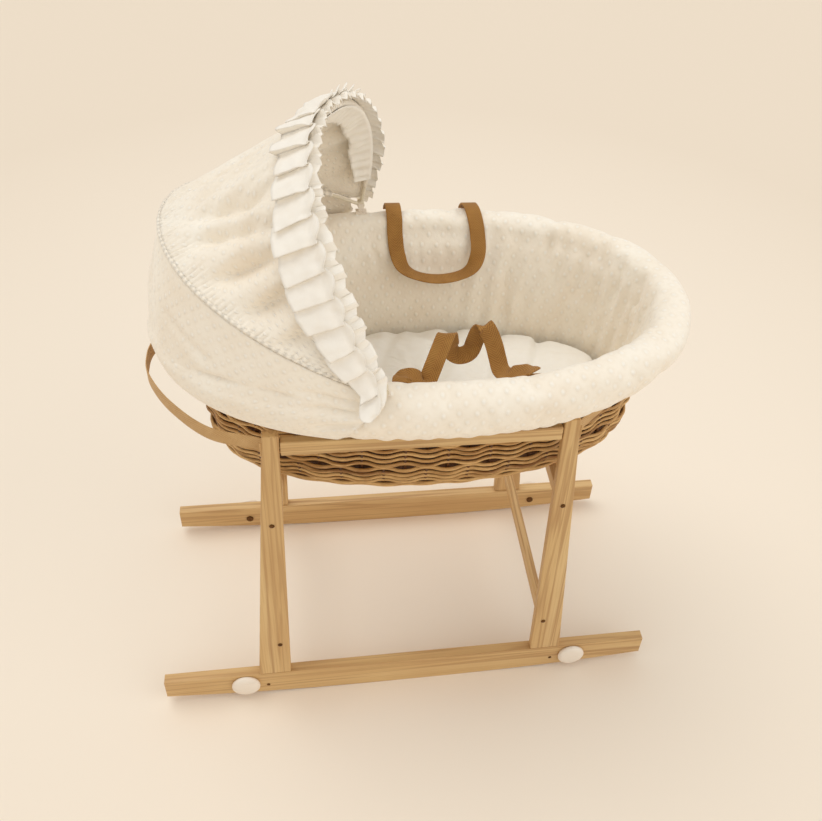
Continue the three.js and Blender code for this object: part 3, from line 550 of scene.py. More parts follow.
ruler = {"steps": 1440, "height": 0.18}
turnTable = [0.0]  # distance round the wall at each of many turns
for i in range(ruler["steps"]):
    a, b = (wallPoint(2 * pi * (i + k) / ruler["steps"], ruler["height"]) for k in (0, 1))
    turnTable.append(turnTable[-1] + (b - a).length)


def turnAt(share):  # the turn at a share of the way round, from the foot end towards the back
    share %= 1.0
    wanted = share * turnTable[-1]
    low, high = 0, ruler["steps"]
    while high - low > 1:
        middle = (low + high) // 2
        if turnTable[middle] <= wanted:
            low = middle
        else:
            high = middle
    part = (wanted - turnTable[low]) / (turnTable[high] - turnTable[low])
    return 2 * pi * (low + part) / ruler["steps"]


# the wicker

weave = {
    "top": 0.1272, "profileSteps": 60, "firstRowShare": 0.03, "lastRowShare": 0.985, "rows": 14, "waves": 26,
    "stepsPerWave": 10, "group": 4, "calmRows": 5, "radius": 0.0028, "inOut": 0.0027, "middle": 0.0008,
    "jitter": 0.0008, "stakeRadius": 0.0024, "stakeSteps": 14, "stakeOut": -0.0024, "shadeSheet": -0.0040,
    "shadeSheetWall": 0.0016,
}

profile = [wallPoint(0, weave["top"] * i / weave["profileSteps"]) for i in range(weave["profileSteps"] + 1)]
profileReach = [0.0]
for a, b in zip(profile, profile[1:]):
    profileReach.append(profileReach[-1] + (b - a).length)


def heightAlong(share):  # the height at a share of the way up the wall's own curve
    wanted = share * profileReach[-1]
    for i in range(weave["profileSteps"]):
        low, high = profileReach[i:i + 2]
        if high >= wanted:
            return weave["top"] * (i + (wanted - low) / (high - low)) / weave["profileSteps"]
    return weave["top"]


def weaver(row):  # one rod that goes in and out round the wall
    height = heightAlong(mix(weave["firstRowShare"], weave["lastRowShare"], row / (weave["rows"] - 1)))
    phase = pi * ((row // weave["group"]) % 2)
    line = []
    for i in range(weave["waves"] * weave["stepsPerWave"]):
        share = i / (weave["waves"] * weave["stepsPerWave"])
        wave = math.sin(2 * pi * weave["waves"] * share + phase)
        inOut = math.copysign(abs(wave) ** 0.75, wave) * mix(0.15, 1.0, smooth(row / weave["calmRows"]))
        turn = turnAt(share)
        around = wallPoint(turn, height)
        lift = weave["jitter"] * 2 * lumps(around + Vector((0, 0, row * 0.37)), 0.05) - 0.0008 * inOut
        out = weave["middle"] + weave["inOut"] * inOut + 0.0006 * lumps(around, 0.03, row * 5.3)
        place = wallPoint(turn, max(height + lift, 0.0005), out)
        line.append((*place, 1.0 + 0.3 * lumps(around, 0.07, row * 3.1)))
    return line


rodsPiece("lower_weave", [weaver(row) for row in range(weave["rows"])], weave["radius"], wickerRods,
          "basket", ["basket_lower_wall"])

stakes = []
for i in range(2 * weave["waves"]):
    turn = turnAt((i + 0.5) / (2 * weave["waves"]))
    stakes.append([wallPoint(turn, heightAlong(k / weave["stakeSteps"]), weave["stakeOut"])
                   for k in range(weave["stakeSteps"] + 1)])
rodsPiece("lower_stakes", stakes, weave["stakeRadius"], wickerShade, "basket", closed=False)


def shadeSheetPoint(u, v):  # a dark sheet behind the rods: painted shade, seen in their gaps
    return wallPoint(2 * pi * u, heightAlong(v), weave["shadeSheet"])


def closeRing(bm):
    bmesh.ops.remove_doubles(bm, verts=bm.verts, dist=1e-5)
    bmesh.ops.recalc_face_normals(bm, faces=bm.faces)
    return bm


bm = closeRing(gridSheet(12, 120, shadeSheetPoint, (1.7, 0.14)))
thicken(finishPiece("weave_shadow", bm, wickerShade, "basket"), weave["shadeSheetWall"])

rope = {  # height, radius of a strand, its way from the middle, the strands and how often they twist
    "waist": (0.132, 0.0026, 0.0023, 3, 44), "rim": (0.245, 0.0044, 0.0038, 3, 30), "steps": 560,
}


def ropeLines(height, reach, count, twists):
    lines = []
    for strand in range(count):
        line = []
        for i in range(rope["steps"]):
            share = i / rope["steps"]
            angle = 2 * pi * (twists * share + strand / count)
            centre = wallPoint(turnAt(share), height, reach * math.cos(angle))
            line.append(centre + Vector((0, 0, reach * math.sin(angle))))
        lines.append(line)
    return lines


for part, node in (("waist", "basket_waist_border"), ("rim", "basket_rim_border")):
    height, radius, reach, count, twists = rope[part]
    rodsPiece(part + "_rope", ropeLines(height, reach, count, twists), radius, wickerRods, "basket",
              [node])

band = {"bottom": 0.1335, "top": 0.238, "radius": 0.0032, "spread": 0.37, "pinch": 0.05, "layer": 0.0026,
        "steps": 12}
trellis = []
for i in range(weave["waves"]):
    for side in (-1, 1):
        line = []
        for k in range(band["steps"] + 1):
            rise = k / band["steps"]
            share = (i + 0.5 + side * mix(band["pinch"], band["spread"], rise)) / weave["waves"]
            height = mix(band["bottom"], band["top"], rise)
            line.append(wallPoint(turnAt(share), height, side * band["layer"] * 0.5))
        trellis.append(line)
rodsPiece("band_stakes", trellis, band["radius"], wickerRods, "basket", ["basket_stake_band"],
          closed=False)
print("wicker made")


# the padded cover and lining: one skin from the hem over the crest and down inside

cover = {  # the outlines give the rise over the rim and the way out of the wall, in mm
    "stations": 264, "around": 84, "furthest": 0.0055, "heldBelow": 0.672, "loosely": 0.12,
    "outside": [(-68, -5), (-60, 7), (-44, 20), (-22, 30), (0, 33), (15, 28), (25, 16)],
    "inside": [(27, 2), (24, -12), (14, -21), (0, -25), (-18, -22), (-36, -17.5)],
    "lining": [(-60, -14.5), (-100, -14), (-150, -14), (-200, -14), (-226, -14), (-230, -11), (-226, -8.2),
               (-150, -8.2), (-60, -8.2), (-38, -8)],
    "under": [(-14, -8.5), (-6, -11), (7, -9), (11.5, 0), (7, 10), (-7, 11)],
    "behind": [(-42, 7), (-60, -6)],
    "headLift": 9,
    "creases": [  # start, end, width and depth in metres: the lining's seam and the folds beside it
        ((0.205, 0.19, 0.735), (0.18, 0.16, 0.66), 0.005, 0.007),
        ((0.18, 0.158, 0.67), (0.185, 0.143, 0.575), 0.004, 0.009),
        ((0.25, 0.165, 0.735), (0.244, 0.146, 0.69), 0.007, 0.010),
        ((0.275, 0.16, 0.74), (0.262, 0.125, 0.63), 0.008, 0.010),
        ((0.305, 0.14, 0.735), (0.296, 0.111, 0.64), 0.008, 0.010),
        ((0.334, 0.118, 0.74), (0.323, 0.080, 0.60), 0.009, 0.012),
        ((0.358, 0.085, 0.735), (0.346, 0.062, 0.66), 0.007, 0.008),
        ((0.377, 0.036, 0.735), (0.361, 0.016, 0.61), 0.010, 0.014),
        ((0.38, -0.01, 0.735), (0.366, -0.028, 0.66), 0.009, 0.008)],
    # puckers: height, spacing, wander with its size and seed, least and added strength, patch size and seed
    "gathers": (0.0042, 0.0062, 2.4, 0.16, 7, 0.35, 1.3, 0.09, 2),
    "fineGathers": (0.0016, 0.0026, 3.2, 0.1, 3, 0.2, 1.4, 0.05, 6),
    "hemGathers": (0.0019, 0.0036, 2.5, 0.1, 5, 0.5, 1.2, 0.08, 8),
}


def coverKeys(turn):  # the hem sits higher at the head end
    lift = cover["headLift"] * smooth((-wallPoint(turn, 0.2).x - 0.1) / 0.14)
    outside = [(rise + lift * smooth((-14 - rise) / 40), out) for rise, out in cover["outside"]]
    inside = cover["inside"] + cover["lining"] + cover["under"]
    behind = [(rise + lift, out) for rise, out in cover["behind"]]
    return ([rimPoint(turn, rise / 1000, out / 1000) for rise, out in outside]
            + [flaredPoint(turn, rise / 1000, out / 1000) for rise, out in inside]
            + [rimPoint(turn, rise / 1000, out / 1000) for rise, out in behind])


coverRows = [smoothPath(coverKeys(turnAt(i / cover["stations"])), cover["around"], closed=True)
             for i in range(cover["stations"])]


def coverPoint(u, v):
    row = coverRows[round(u * cover["stations"]) % cover["stations"]]
    return row[round(v * cover["around"]) % cover["around"]]


def puckers(place, girth, kind):  # small folds side by side, stronger in some patches than in others
    height, spacing, wander, wanderSize, seed, least, added, patchSize, patchSeed = cover[kind]
    wave = math.sin(girth / spacing + wander * lumps(place, wanderSize, seed))
    return height * (wave * (least + added * abs(lumps(place, patchSize, patchSeed))))


def coverWrinkle(place, normal):
    local = place - shape["place"]
    rise = local.z - shape["height"]
    girth = math.atan2(local.y / shape["rimWidth"], local.x / shape["rimLength"]) * 0.3
    inward = smooth(-normal.dot(Vector((local.x, local.y, 0)).normalized()) * 1.5 + 0.35)
    size = 0.0026 * lumps(place, 0.09) + 0.0013 * lumps(place, 0.034, 4) + 0.0006 * lumps(place, 0.015, 9)
    foot = smooth((local.x - 0.03) / 0.1)
    below = smooth((0.012 - rise) / 0.04)
    size += inward * foot * below * (puckers(place, girth, "gathers") + puckers(place, girth, "fineGathers"))
    size += smooth((-0.036 - rise) / 0.02) * (1 - inward) * puckers(place, girth, "hemGathers")
    for start, end, width, depth in cover["creases"]:
        size += crease(place, start, end, width, depth) * inward
    return size


bm = closeRing(gridSheet(cover["around"], cover["stations"], coverPoint, (1.98, 0.62)))
bm.normal_update()
for vert in bm.verts:
    vert.co += vert.normal * coverWrinkle(vert.co, vert.normal)
paddedPiece("padded_cover", bm, plush, ["rim_cover", "basket_liner"],
            lambda p: 1.0 if p.z < cover["heldBelow"] else cover["loosely"], cover["furthest"])
print("cover made")


# the mattress

pad = {
    "bottom": 0.0073, "thickness": 0.084, "crown": 0.010, "inset": 0.0172, "around": 200, "rings": 72,
    "seams": [-0.19, -0.07, 0.03, 0.115, 0.195, 0.31], "seamWidth": 0.010, "seamDepth": 0.010,
    "slant": 0.35, "slantFrom": 0.04, "straightTo": -0.1, "underside": 0.2, "side": 0.42, "flatShare": 0.92,
    "bulgeShare": 0.08, "edgeRise": 0.01, "outlineHeight": 0.03, "furthest": 0.005, "heldBelow": 0.50,
}


def padSeam(place):  # 1 at a sewn line across the pad, falling to 0 beside it
    slanted = pad["slant"] * (place.y - pad["slantFrom"])
    nearest = min(abs(place.x - x - (slanted if x > pad["straightTo"] else 0)) for x in pad["seams"])
    return math.exp(-((nearest / pad["seamWidth"]) ** 2) ** 0.7)


def padPoint(u, v):  # from the middle of the underside over the side to the middle of the top
    shoulder = pad["bottom"] + pad["thickness"] - pad["edgeRise"]
    half = wallPoint(turnAt(u), pad["outlineHeight"], -pad["inset"]) - shape["place"]
    half -= Vector((0, 0, pad["outlineHeight"]))
    if v < pad["underside"]:
        flat = half * (pad["flatShare"] * v / pad["underside"])
        return shape["place"] + flat + Vector((0, 0, pad["bottom"]))
    if v < pad["side"]:
        angle = (v - pad["underside"]) / (pad["side"] - pad["underside"]) * pi - pi / 2
        flat = half * (pad["flatShare"] + pad["bulgeShare"] * max(math.cos(angle), 0.0) ** 0.5)
        share = 0.5 + 0.5 * math.sin(angle)
        height = mix(pad["bottom"], shoulder, share)
        reach = 1.0
    else:
        reach = 1 - (v - pad["side"]) / (1 - pad["side"])
        flat = half * (reach * pad["flatShare"])
        height = shoulder + pad["edgeRise"] * (1 - reach ** 5) + pad["crown"] * (1 - reach ** 2) * 0.6
        share = 1.0
    sewn = padSeam(flat) * share
    soft = 0.0035 * lumps(flat, 0.11, 4) + 0.0012 * lumps(flat, 0.035, 6)
    sunk = pad["seamDepth"] * sewn * (0.45 + 0.55 * smooth((flat.x + 0.05) / 0.12))
    drawnIn = flat * (1 - 0.035 * sewn * reach ** 6)
    return shape["place"] + drawnIn + Vector((0, 0, height - sunk + soft * share))


bm = closeRing(gridSheet(pad["rings"], pad["around"], padPoint, (1.4, 0.4)))
paddedPiece("mattress_pad", bm, mattressCotton, ["mattress"],
            lambda p: 1.0 if p.z < pad["heldBelow"] else mix(0.05, 0.9, padSeam(p - shape["place"])),
            pad["furthest"])
print("mattress made")


# webbing: a route's places are mm from the basket's middle and over its rim

webbing = {"width": 0.026, "thickness": 0.0024, "steps": 150, "frontSteps": 240, "tabSteps": 16, "columns": 6}
backRoute = [
    (-37, 238, 33), (-37, 231, 39), (-36, 218, 38), (-35, 203, 26), (-35, 190, 4), (-32, 173, -22),
    (-22, 159, -43), (4, 153, -56), (38, 151, -61), (72, 151, -55), (94, 152, -40), (104, 164, -18),
    (104, 182, 6), (101, 197, 26), (97, 213, 38), (93, 228, 39), (93, 236, 33),
]
frontRoute = [  # each place, then the way the band's width points
    (-62, -192, 14, -1, 0, 0), (-60, -184, 15, -1, 0, 0), (-53, -177, 11, -0.7, 0.3, 0.5),
    (-42, -172, 4, -0.2, 0.5, 0.8), (-31, -170, -5, -0.6, 0.2, 0.6), (-22, -165, -8, -1, 0.15, -0.1),
    (-12, -152, 8, -1, 0.15, -0.1), (-2, -137, 24, -1, 0.15, -0.1), (7, -122, 35, -1, 0.12, -0.1),
    (13, -113, 32, -1, 0.1, -0.1), (17, -108, 14, -1, 0, -0.3), (20, -106, -5, -0.7, -0.5, -0.6),
    (29, -106, -14, 0, -0.65, -0.75), (40, -107, -13, 0, -0.65, -0.75), (49, -107, -5, 0.5, -0.6, -0.5),
    (54, -106, 12, 1, -0.2, 0), (59, -107, 32, 1, -0.1, 0.1), (65, -112, 43, 1, -0.1, 0.1),
    (72, -119, 35, 1, -0.1, 0.2), (79, -127, 18, 1, -0.1, 0.3), (84, -136, 0, 1, 0.1, 0.4),
    (87, -148, -9, 0.8, 0.4, 0.3), (92, -160, -7, 0.5, 0.6, 0.1), (101, -168, 1, 0.3, 0.8, 0.2),
    (114, -174, 9, 0.5, 0.7, 0.2), (124, -178, 13, 0.8, 0.3, 0), (128, -182, 14, 1, 0, 0),
]


def overRim(points):
    places = (Vector((p[0] / 1000, p[1] / 1000, shape["height"] + p[2] / 1000)) for p in points)
    return [shape["place"] + place for place in places]


def strapPiece(name, path, widthAt, strap, material, body, node):
    count = len(path) - 1
    length = sum((b - a).length for a, b in zip(path, path[1:]))
    width, thickness = strap["width"], strap["thickness"]

    def at(u, v):
        i = round(v * count)
        tangent = (path[min(i + 1, count)] - path[max(i - 1, 0)]).normalized()
        return path[i] + widthAt(i / count, tangent) * (u - 0.5) * width
    bm = gridSheet(count, webbing["columns"], at, (width, length))
    uvs = bm.loops.layers.uv.active
    for face in bm.faces:
        for loop in face.loops:
            loop[uvs].uv.x -= width / 2
    bmesh.ops.recalc_face_normals(bm, faces=bm.faces)
    thicken(finishPiece(name, bm, material, body, [node]), thickness, thickness * 0.35)


def awayFromEnds(share, start, span):
    return smooth((0.5 - abs(share - 0.5) - start) / span)


def backWidth(share, tangent):
    turn = awayFromEnds(share, 0.24, 0.18) * pi / 2
    return Vector((math.cos(turn) * (1 if share < 0.5 else -1), math.sin(turn), 0))


frontPlaces = []
frontPath = smoothPath(overRim(frontRoute), webbing["frontSteps"], places=frontPlaces)


def frontWidth(share, tangent):
    at = frontPlaces[round(share * webbing["frontSteps"])]
    low = min(int(at), len(frontRoute) - 2)
    wanted = Vector(frontRoute[low][3:]).lerp(Vector(frontRoute[low + 1][3:]), smooth(at - low))
    return (wanted - tangent * wanted.dot(tangent)).normalized()


backPath = smoothPath(overRim(backRoute), webbing["steps"])
strapPiece("back_handle", backPath, backWidth, webbing, brownWebbing, "handle_back",
           "handle_back")
strapPiece("front_handle", frontPath, frontWidth, webbing, brownWebbing, "handle_front",
           "handle_front")

tabs = {  # the handles' sewn ends: mm outwards and up from the route's end
    "back": [(0.6, -0.5), (7.4, -6), (13.4, -12.2), (16, -18)], "front": [(1.9, -2), (3.1, -6), (2.4, -13)],
}
for side, sign, route in (("back", 1, backRoute), ("front", -1, frontRoute)):
    for end, start in (("head", route[0]), ("foot", route[-1])):
        keys = [(start[0], start[1] + sign * out, start[2] + up) for out, up in tabs[side]]
        strapPiece(f"{side}_tab_{end}", smoothPath(overRim(keys), webbing["tabSteps"]),
                   lambda share, tangent: Vector((1, 0, 0)), webbing, brownWebbing, "basket",
                   f"handle_tab_{side}_{end}")

ties = {
    "width": 0.025, "thickness": 0.0016, "z": 0.629, "reach": 0.404, "outer": 0.2012, "leg": 0.2325,
    "tail": 0.013, "gap": 0.0003, "offWall": 0.0105, "steps": 120, "footDegrees": (-40, -26, -13, 0),
    "headShares": ((0.42, 0.8), (0.76, 0.5), (0.96, 0.2), (1, 0)),
}


def tiePath(end):  # from the outer side of one leg round the basket's end to the other leg
    side = ties["leg"] + ties["thickness"] + ties["gap"]
    outer = ties["outer"]
    half = [(side, outer - ties["gap"]), (side + ties["gap"], outer - ties["tail"])]
    if end < 0:
        half += [(mix(side, ties["reach"], along), outer * across) for along, across in ties["headShares"]]
    else:
        for degrees in ties["footDegrees"]:
            at = wallPoint(math.radians(degrees), ties["z"] - shape["place"].z, ties["offWall"])
            half.append((at.x, -at.y))
    whole = half + [(x, -y) for x, y in reversed(half[:-1])]
    return smoothPath([Vector((end * x, -y, ties["z"])) for x, y in whole], ties["steps"])


for end, name in ((-1, "head"), (1, "foot")):
    strapPiece(f"{name}_strap", tiePath(end), lambda share, tangent: Vector((0, 0, 1)), ties, tanWebbing,
               "stand", f"end_strap_{name}")
print("webbing made")


# the hood

hood = {  # a hoop is its half width, its height, the power of its curve and its twist
    "front": (0.236, 0.284, 1.7, 0.042), "rear": (0.2295, 0.300, 2.0, 0.0), "frontLean": 12, "rearLean": 66,
    "pivot": Vector((-0.063, 0.0, 0.7613)), "hoopRadius": 0.003, "slack": 0.002, "spanOut": -0.12,
}


def hoopPoint(which, turn, out=0.0):
    halfWidth, height, power, twist = hood[which]
    lean = math.radians(hood[which + "Lean"])
    reach = (height + out) * max(math.sin(turn), 0.0) ** (2 / power)
    aside = signedPower(math.cos(turn), 2 / power)
    return hood["pivot"] + Vector((-reach * math.sin(lean) - twist * math.sin(2 * turn),
                                   -(halfWidth + out) * aside, reach * math.cos(lean)))


def canopyBase(along, turn, out):
    return hoopPoint("front", turn, out).lerp(
        hoopPoint("rear", turn, out + hood["front"][0] - hood["rear"][0]), along)


canopy = {
    "rows": 64, "columns": 400, "thickness": 0.0026, "startTurn": 3, "depth": 0.0085, "sag": 0.006,
    "folds": 12, "ridgePower": 0.7, "drift": 0.5, "driftWaves": 3, "small": 31, "gathers": 110,
    "gatherHeight": 0.0019, "middle": Vector((-0.2, 0.0, 0.78)), "valleyWidth": 0.0135,
    "valleys": [  # start, end and depth in metres
        ((-0.321, -0.040, 0.903), (-0.186, -0.092, 0.977), 0.018),
        ((-0.311, -0.081, 0.894), (-0.185, -0.128, 0.957), 0.022),
        ((-0.284, -0.140, 0.872), (-0.176, -0.158, 0.935), 0.025),
        ((-0.243, -0.186, 0.847), (-0.166, -0.188, 0.895), 0.023),
        ((-0.200, -0.215, 0.818), (-0.146, -0.218, 0.850), 0.019),
        ((-0.318, 0.030, 0.905), (-0.195, 0.010, 0.99), 0.014),
        ((-0.300, 0.110, 0.885), (-0.190, 0.100, 0.965), 0.018),
        ((-0.255, 0.175, 0.855), (-0.172, 0.170, 0.915), 0.019)],
}


def canopyPoint(u, v):
    turn = mix(math.radians(canopy["startTurn"]), pi - math.radians(canopy["startTurn"]), u)
    slack = math.sin(pi * min(max(v, 0.0), 1.0)) ** 0.6 * math.sin(turn) ** 0.5
    base = canopyBase(v, turn, 0.0)
    drift = lumps((u * 4, v * 0.7, 0), 0.5)
    swayed = 2 * canopy["folds"] * turn + canopy["drift"] * math.sin(canopy["driftWaves"] * turn)
    wave = 0.5 + 0.5 * math.cos(swayed + 0.9 * drift)
    fold = 2 * wave ** canopy["ridgePower"] - 1
    little = math.sin(2 * canopy["small"] * turn + 5 * drift + 2.5 * v) * 0.0011
    rough = 0.002 * lumps(base, 0.05, 3) + 0.001 * lumps(base, 0.02, 8)
    sewn = smooth((v - 0.8) / 0.17) * (1 - smooth((v - 0.985) / 0.015))
    gather = canopy["gatherHeight"] * math.sin(2 * canopy["gathers"] * turn + 3 * drift) * sewn
    gather *= 0.7 + 1.2 * lumps((u * 30, 0, 0), 1)
    deep = canopy["depth"] * (1 + 0.6 * lumps((u * 6, 0, 3), 0.4))
    out = hood["hoopRadius"] + hood["slack"] + canopy["thickness"] / 2
    out += slack * (0.5 * deep * fold - canopy["sag"] * 0.4 + little + rough) + gather
    here = canopyBase(v, turn, out)
    side = (here - canopy["middle"]).normalized()
    for start, end, depth in canopy["valleys"]:
        here += side * crease(here, start, end, canopy["valleyWidth"], depth) * min(slack * 1.3, 1.0)
    return here


bm = gridSheet(canopy["rows"], canopy["columns"], canopyPoint, (0.88, 0.27))
piece = sheetPiece("hood_cloth", bm, plush, None, "hood_canopy", canopy["thickness"])
hoodSpan = [hoopPoint(which, pi / 2, hood["spanOut"]) for which in ("front", "rear")]
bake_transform(piece)


def sewnTube(name, tube, placeAt, body):  # a stuffed line of cloth that runs over the hood from side to side
    first = math.radians(tube["startTurn"])
    line = []
    for i in range(tube["steps"] + 1):
        at = placeAt(mix(first, pi - first, i / tube["steps"]))
        line.append((*at, 1.0 + tube["uneven"] * lumps(at, tube["lumpSize"])))
    rodsPiece(name, [line], tube["radius"], plush, body, closed=False, sides=3)


channel = {"radius": 0.0043, "steps": 150, "startTurn": 10, "uneven": 0.12, "lumpSize": 0.03}
for which in ("front", "rear"):
    sewnTube(f"{which}_channel", channel, lambda turn: hoopPoint(which, turn), f"hood_{which}")

piping = {"radius": 0.0029, "steps": 160, "startTurn": 3.2, "uneven": 0.3, "lumpSize": 0.014, "out": 0.0064,
          "back": -0.0022, "down": -0.0016}


def pipingPlace(turn):
    return (canopyBase(1, turn, piping["out"])
            + Vector((piping["back"] * math.sin(turn), 0, piping["down"] * math.sin(turn))))


sewnTube("rear_piping", piping, pipingPlace, "hood_rear")

rear = {
    "rows": 44, "columns": 180, "thickness": 0.0026, "startTurn": 3.5, "gap": 0.0015, "standoff": 0.003,
    "bulge": 0.004, "topX": -98, "hemX": -175, "hemLift": 7,
    "creases": [  # start, end, width and depth in metres
        ((-0.066, -0.248, 0.745), (-0.185, -0.232, 0.764), 0.005, 0.008),
        ((-0.070, -0.252, 0.735), (-0.185, -0.236, 0.738), 0.005, 0.009),
        ((-0.078, -0.255, 0.727), (-0.165, -0.243, 0.702), 0.006, 0.008),
        ((-0.325, -0.150, 0.740), (-0.251, -0.203, 0.752), 0.005, 0.009),
        ((-0.255, -0.203, 0.751), (-0.174, -0.235, 0.750), 0.005, 0.009),
        ((-0.345, -0.100, 0.800), (-0.290, -0.170, 0.770), 0.008, 0.007)],
}


def turnAtX(x):  # the turn on the near side where the rim's edge has this x, in mm
    return 1.5 * pi - math.asin(abs(x / 1000 / shape["rimLength"]) ** (shape["ovalPower"] / 2))


def rearKeys(u):  # from the rear hoop's seam down to the hem on the padded cover
    first = math.radians(rear["startTurn"])
    turn = mix(first, pi - first, u)
    lift = rear["gap"] + rear["standoff"] + rear["thickness"] / 2

    def beside(index, drop):
        rise, out = cover["outside"][index]
        near = turnAtX(mix(rear["topX"], rear["hemX"], drop))
        return rimPoint(mix(near, pi - near + pi, u), rise / 1000, out / 1000 + lift)
    seam = canopyBase(1, turn, hood["hoopRadius"] + hood["slack"] + rear["thickness"] / 2)
    seam += Vector((-rear["thickness"] * math.sin(turn), 0, -2 * rear["thickness"]))
    over = beside(5, 0)
    belly = over.lerp(seam, 0.45) + Vector((-rear["bulge"] * math.sin(turn), 0, 0))
    hem = beside(1, 0.9) + Vector((0, 0, rear["hemLift"] / 1000))
    return [seam, belly, over, beside(4, 0.2), beside(3, 0.4), beside(2, 0.65), hem]


rearRows = [smoothPath(rearKeys(i / rear["columns"]), rear["rows"]) for i in range(rear["columns"] + 1)]


def rearPoint(u, v):
    place = rearRows[round(u * rear["columns"])][round(v * rear["rows"])].copy()
    local = place - shape["place"]
    side = Vector((local.x, local.y, 0)).normalized()
    fall = math.sin(pi * min(v * 1.1, 1.0))
    ripple = math.sin(u * 46 + 6 * v + 4 * lumps(place, 0.15)) * 0.0016 * fall
    for start, end, width, depth in rear["creases"]:
        place += side * crease(place, start, end, width, depth)
    return place + side * (ripple + 0.003 * lumps(place, 0.06, 5) * fall)


bm = gridSheet(rear["rows"], rear["columns"], rearPoint, (0.95, 0.2))
piece = sheetPiece("hood_skirt", bm, plush, None, "hood_rear_panel", rear["thickness"])
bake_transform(piece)

frill = {
    "columns": 840, "innerRows": 8, "backRows": 14, "frontRows": 16, "thickness": 0.0011, "pleats": 26,
    "startTurn": 6, "taperTurn": 34, "endWidthShare": 0.4, "apexAheadShare": 0.35, "behind": 0.050,
    "ahead": 0.036, "lift": 0.0098, "overlap": 0.18, "fullness": 1.16, "heading": 0.014, "curls": 46,
    "curlDepth": 0.0072, "standoff": 0.0125, "squareness": 0.85, "tilt": 0.016, "rumple": 0.0016,
    "facing": 0.034, "facingStart": 0.05, "facingOut": -0.0065, "tail": 0.038, "tailWidth": 0.10,
    "tailRoute": [(0, 0, 0), (0.000, 0.015, -0.018), (-0.001, 0.021, -0.028), (-0.003, 0.022, -0.036)],
}


def frillPlace(u, out):  # a point on the front hoop with the directions backwards, along and outwards
    first = math.radians(frill["startTurn"])
    turn = mix(first, pi - first, min(max(u, 0.0), 1.0))
    fore = hoopPoint("front", turn, out)
    rearward = (hoopPoint("rear", turn, out + hood["front"][0] - hood["rear"][0]) - fore).normalized()
    tangent = (hoopPoint("front", turn + 0.03, out) - hoopPoint("front", turn - 0.03, out)).normalized()
    up = rearward.cross(tangent).normalized()
    if up.dot(fore - hood["pivot"]) < 0:
        up = -up
    square = up.cross(tangent)
    if square.dot(rearward) <= 0:
        square = -square
    rearward = rearward.lerp(square, frill["squareness"]).normalized()
    near = min(turn, pi - turn) / math.radians(frill["taperTurn"])
    size = mix(frill["endWidthShare"], 1.0, smooth(near))
    beyond = min(max(-u, u - 1, 0.0) / frill["tail"], 1.0)
    if beyond > 0:  # the ends hang down over the hinges and the padded rim
        side = -1 if u < 0.5 else 1
        at = beyond * (len(frill["tailRoute"]) - 1)
        low = min(int(at), len(frill["tailRoute"]) - 2)
        x, y, z = Vector(frill["tailRoute"][low]).lerp(Vector(frill["tailRoute"][low + 1]), at - low)
        fore += Vector((x, side * y, z))
        rearward = rearward.lerp(Vector((-0.95, 0, -0.3)), beyond).normalized()
        up = up.lerp(Vector((0, side, 0.2)), smooth(beyond * 2)).normalized()
        tangent = tangent.lerp(Vector((0, 0.3, 0.95 if side < 0 else -0.95)), smooth(beyond * 2)).normalized()
        size = mix(size + 0.06 * math.sin(pi * beyond), frill["tailWidth"], beyond ** 3)
    return turn, fore, rearward, tangent, up, size


def backFrillPoint(u, v):  # flat pleats that overlap like shingles
    u = mix(-frill["tail"], 1 + frill["tail"], u)
    mirrored = u < 0.5  # the pleats open downwards on both sides
    u = 1 - u if mirrored else u
    whole = math.floor(u * frill["pleats"])
    part = u * frill["pleats"] - whole
    turnBack = 1 - frill["overlap"]
    if part < turnBack:
        share = part / turnBack
        along, lift = frill["fullness"] * share, smooth(share) ** 0.8
    else:
        share = (part - turnBack) / frill["overlap"]
        along, lift = mix(frill["fullness"], 1.0, share), 1 - smooth(share)
    wander = lumps((whole * 0.37, v * 0.2, 1.0 + mirrored), 0.3)
    at = (whole + along) / frill["pleats"]
    turn, fore, rearward, tangent, up, size = frillPlace(1 - at if mirrored else at, frill["standoff"])
    scallop = frill["heading"] * (0.35 + 0.65 * math.sin(pi * min(along, 1.0))) * size
    width = frill["behind"] * size * (1 + 0.22 * wander)
    reach = mix(-scallop, width * (1 - 0.05 * abs(2 * along - 1)), v)
    here = fore + rearward * reach
    pinched = 1 - 0.55 * math.exp(-((reach / 0.006) ** 2))
    rise = frill["lift"] * lift * pinched * (0.6 + 0.4 * v) * (1 + 0.5 * lumps((whole * 0.53, 4.0, 0.0), 0.3))
    rise += 0.0016 * lumps(here, 0.03, 2) + frill["rumple"] * lumps(here, 0.011, 9)
    flare = 0.0045 * max(-reach / frill["heading"], 0.0) * size
    tilt = frill["tilt"] * lumps((whole * 0.61, 3.0, 1.0 + mirrored), 0.3) * v * size
    return here + up * (rise + flare) + tangent * tilt


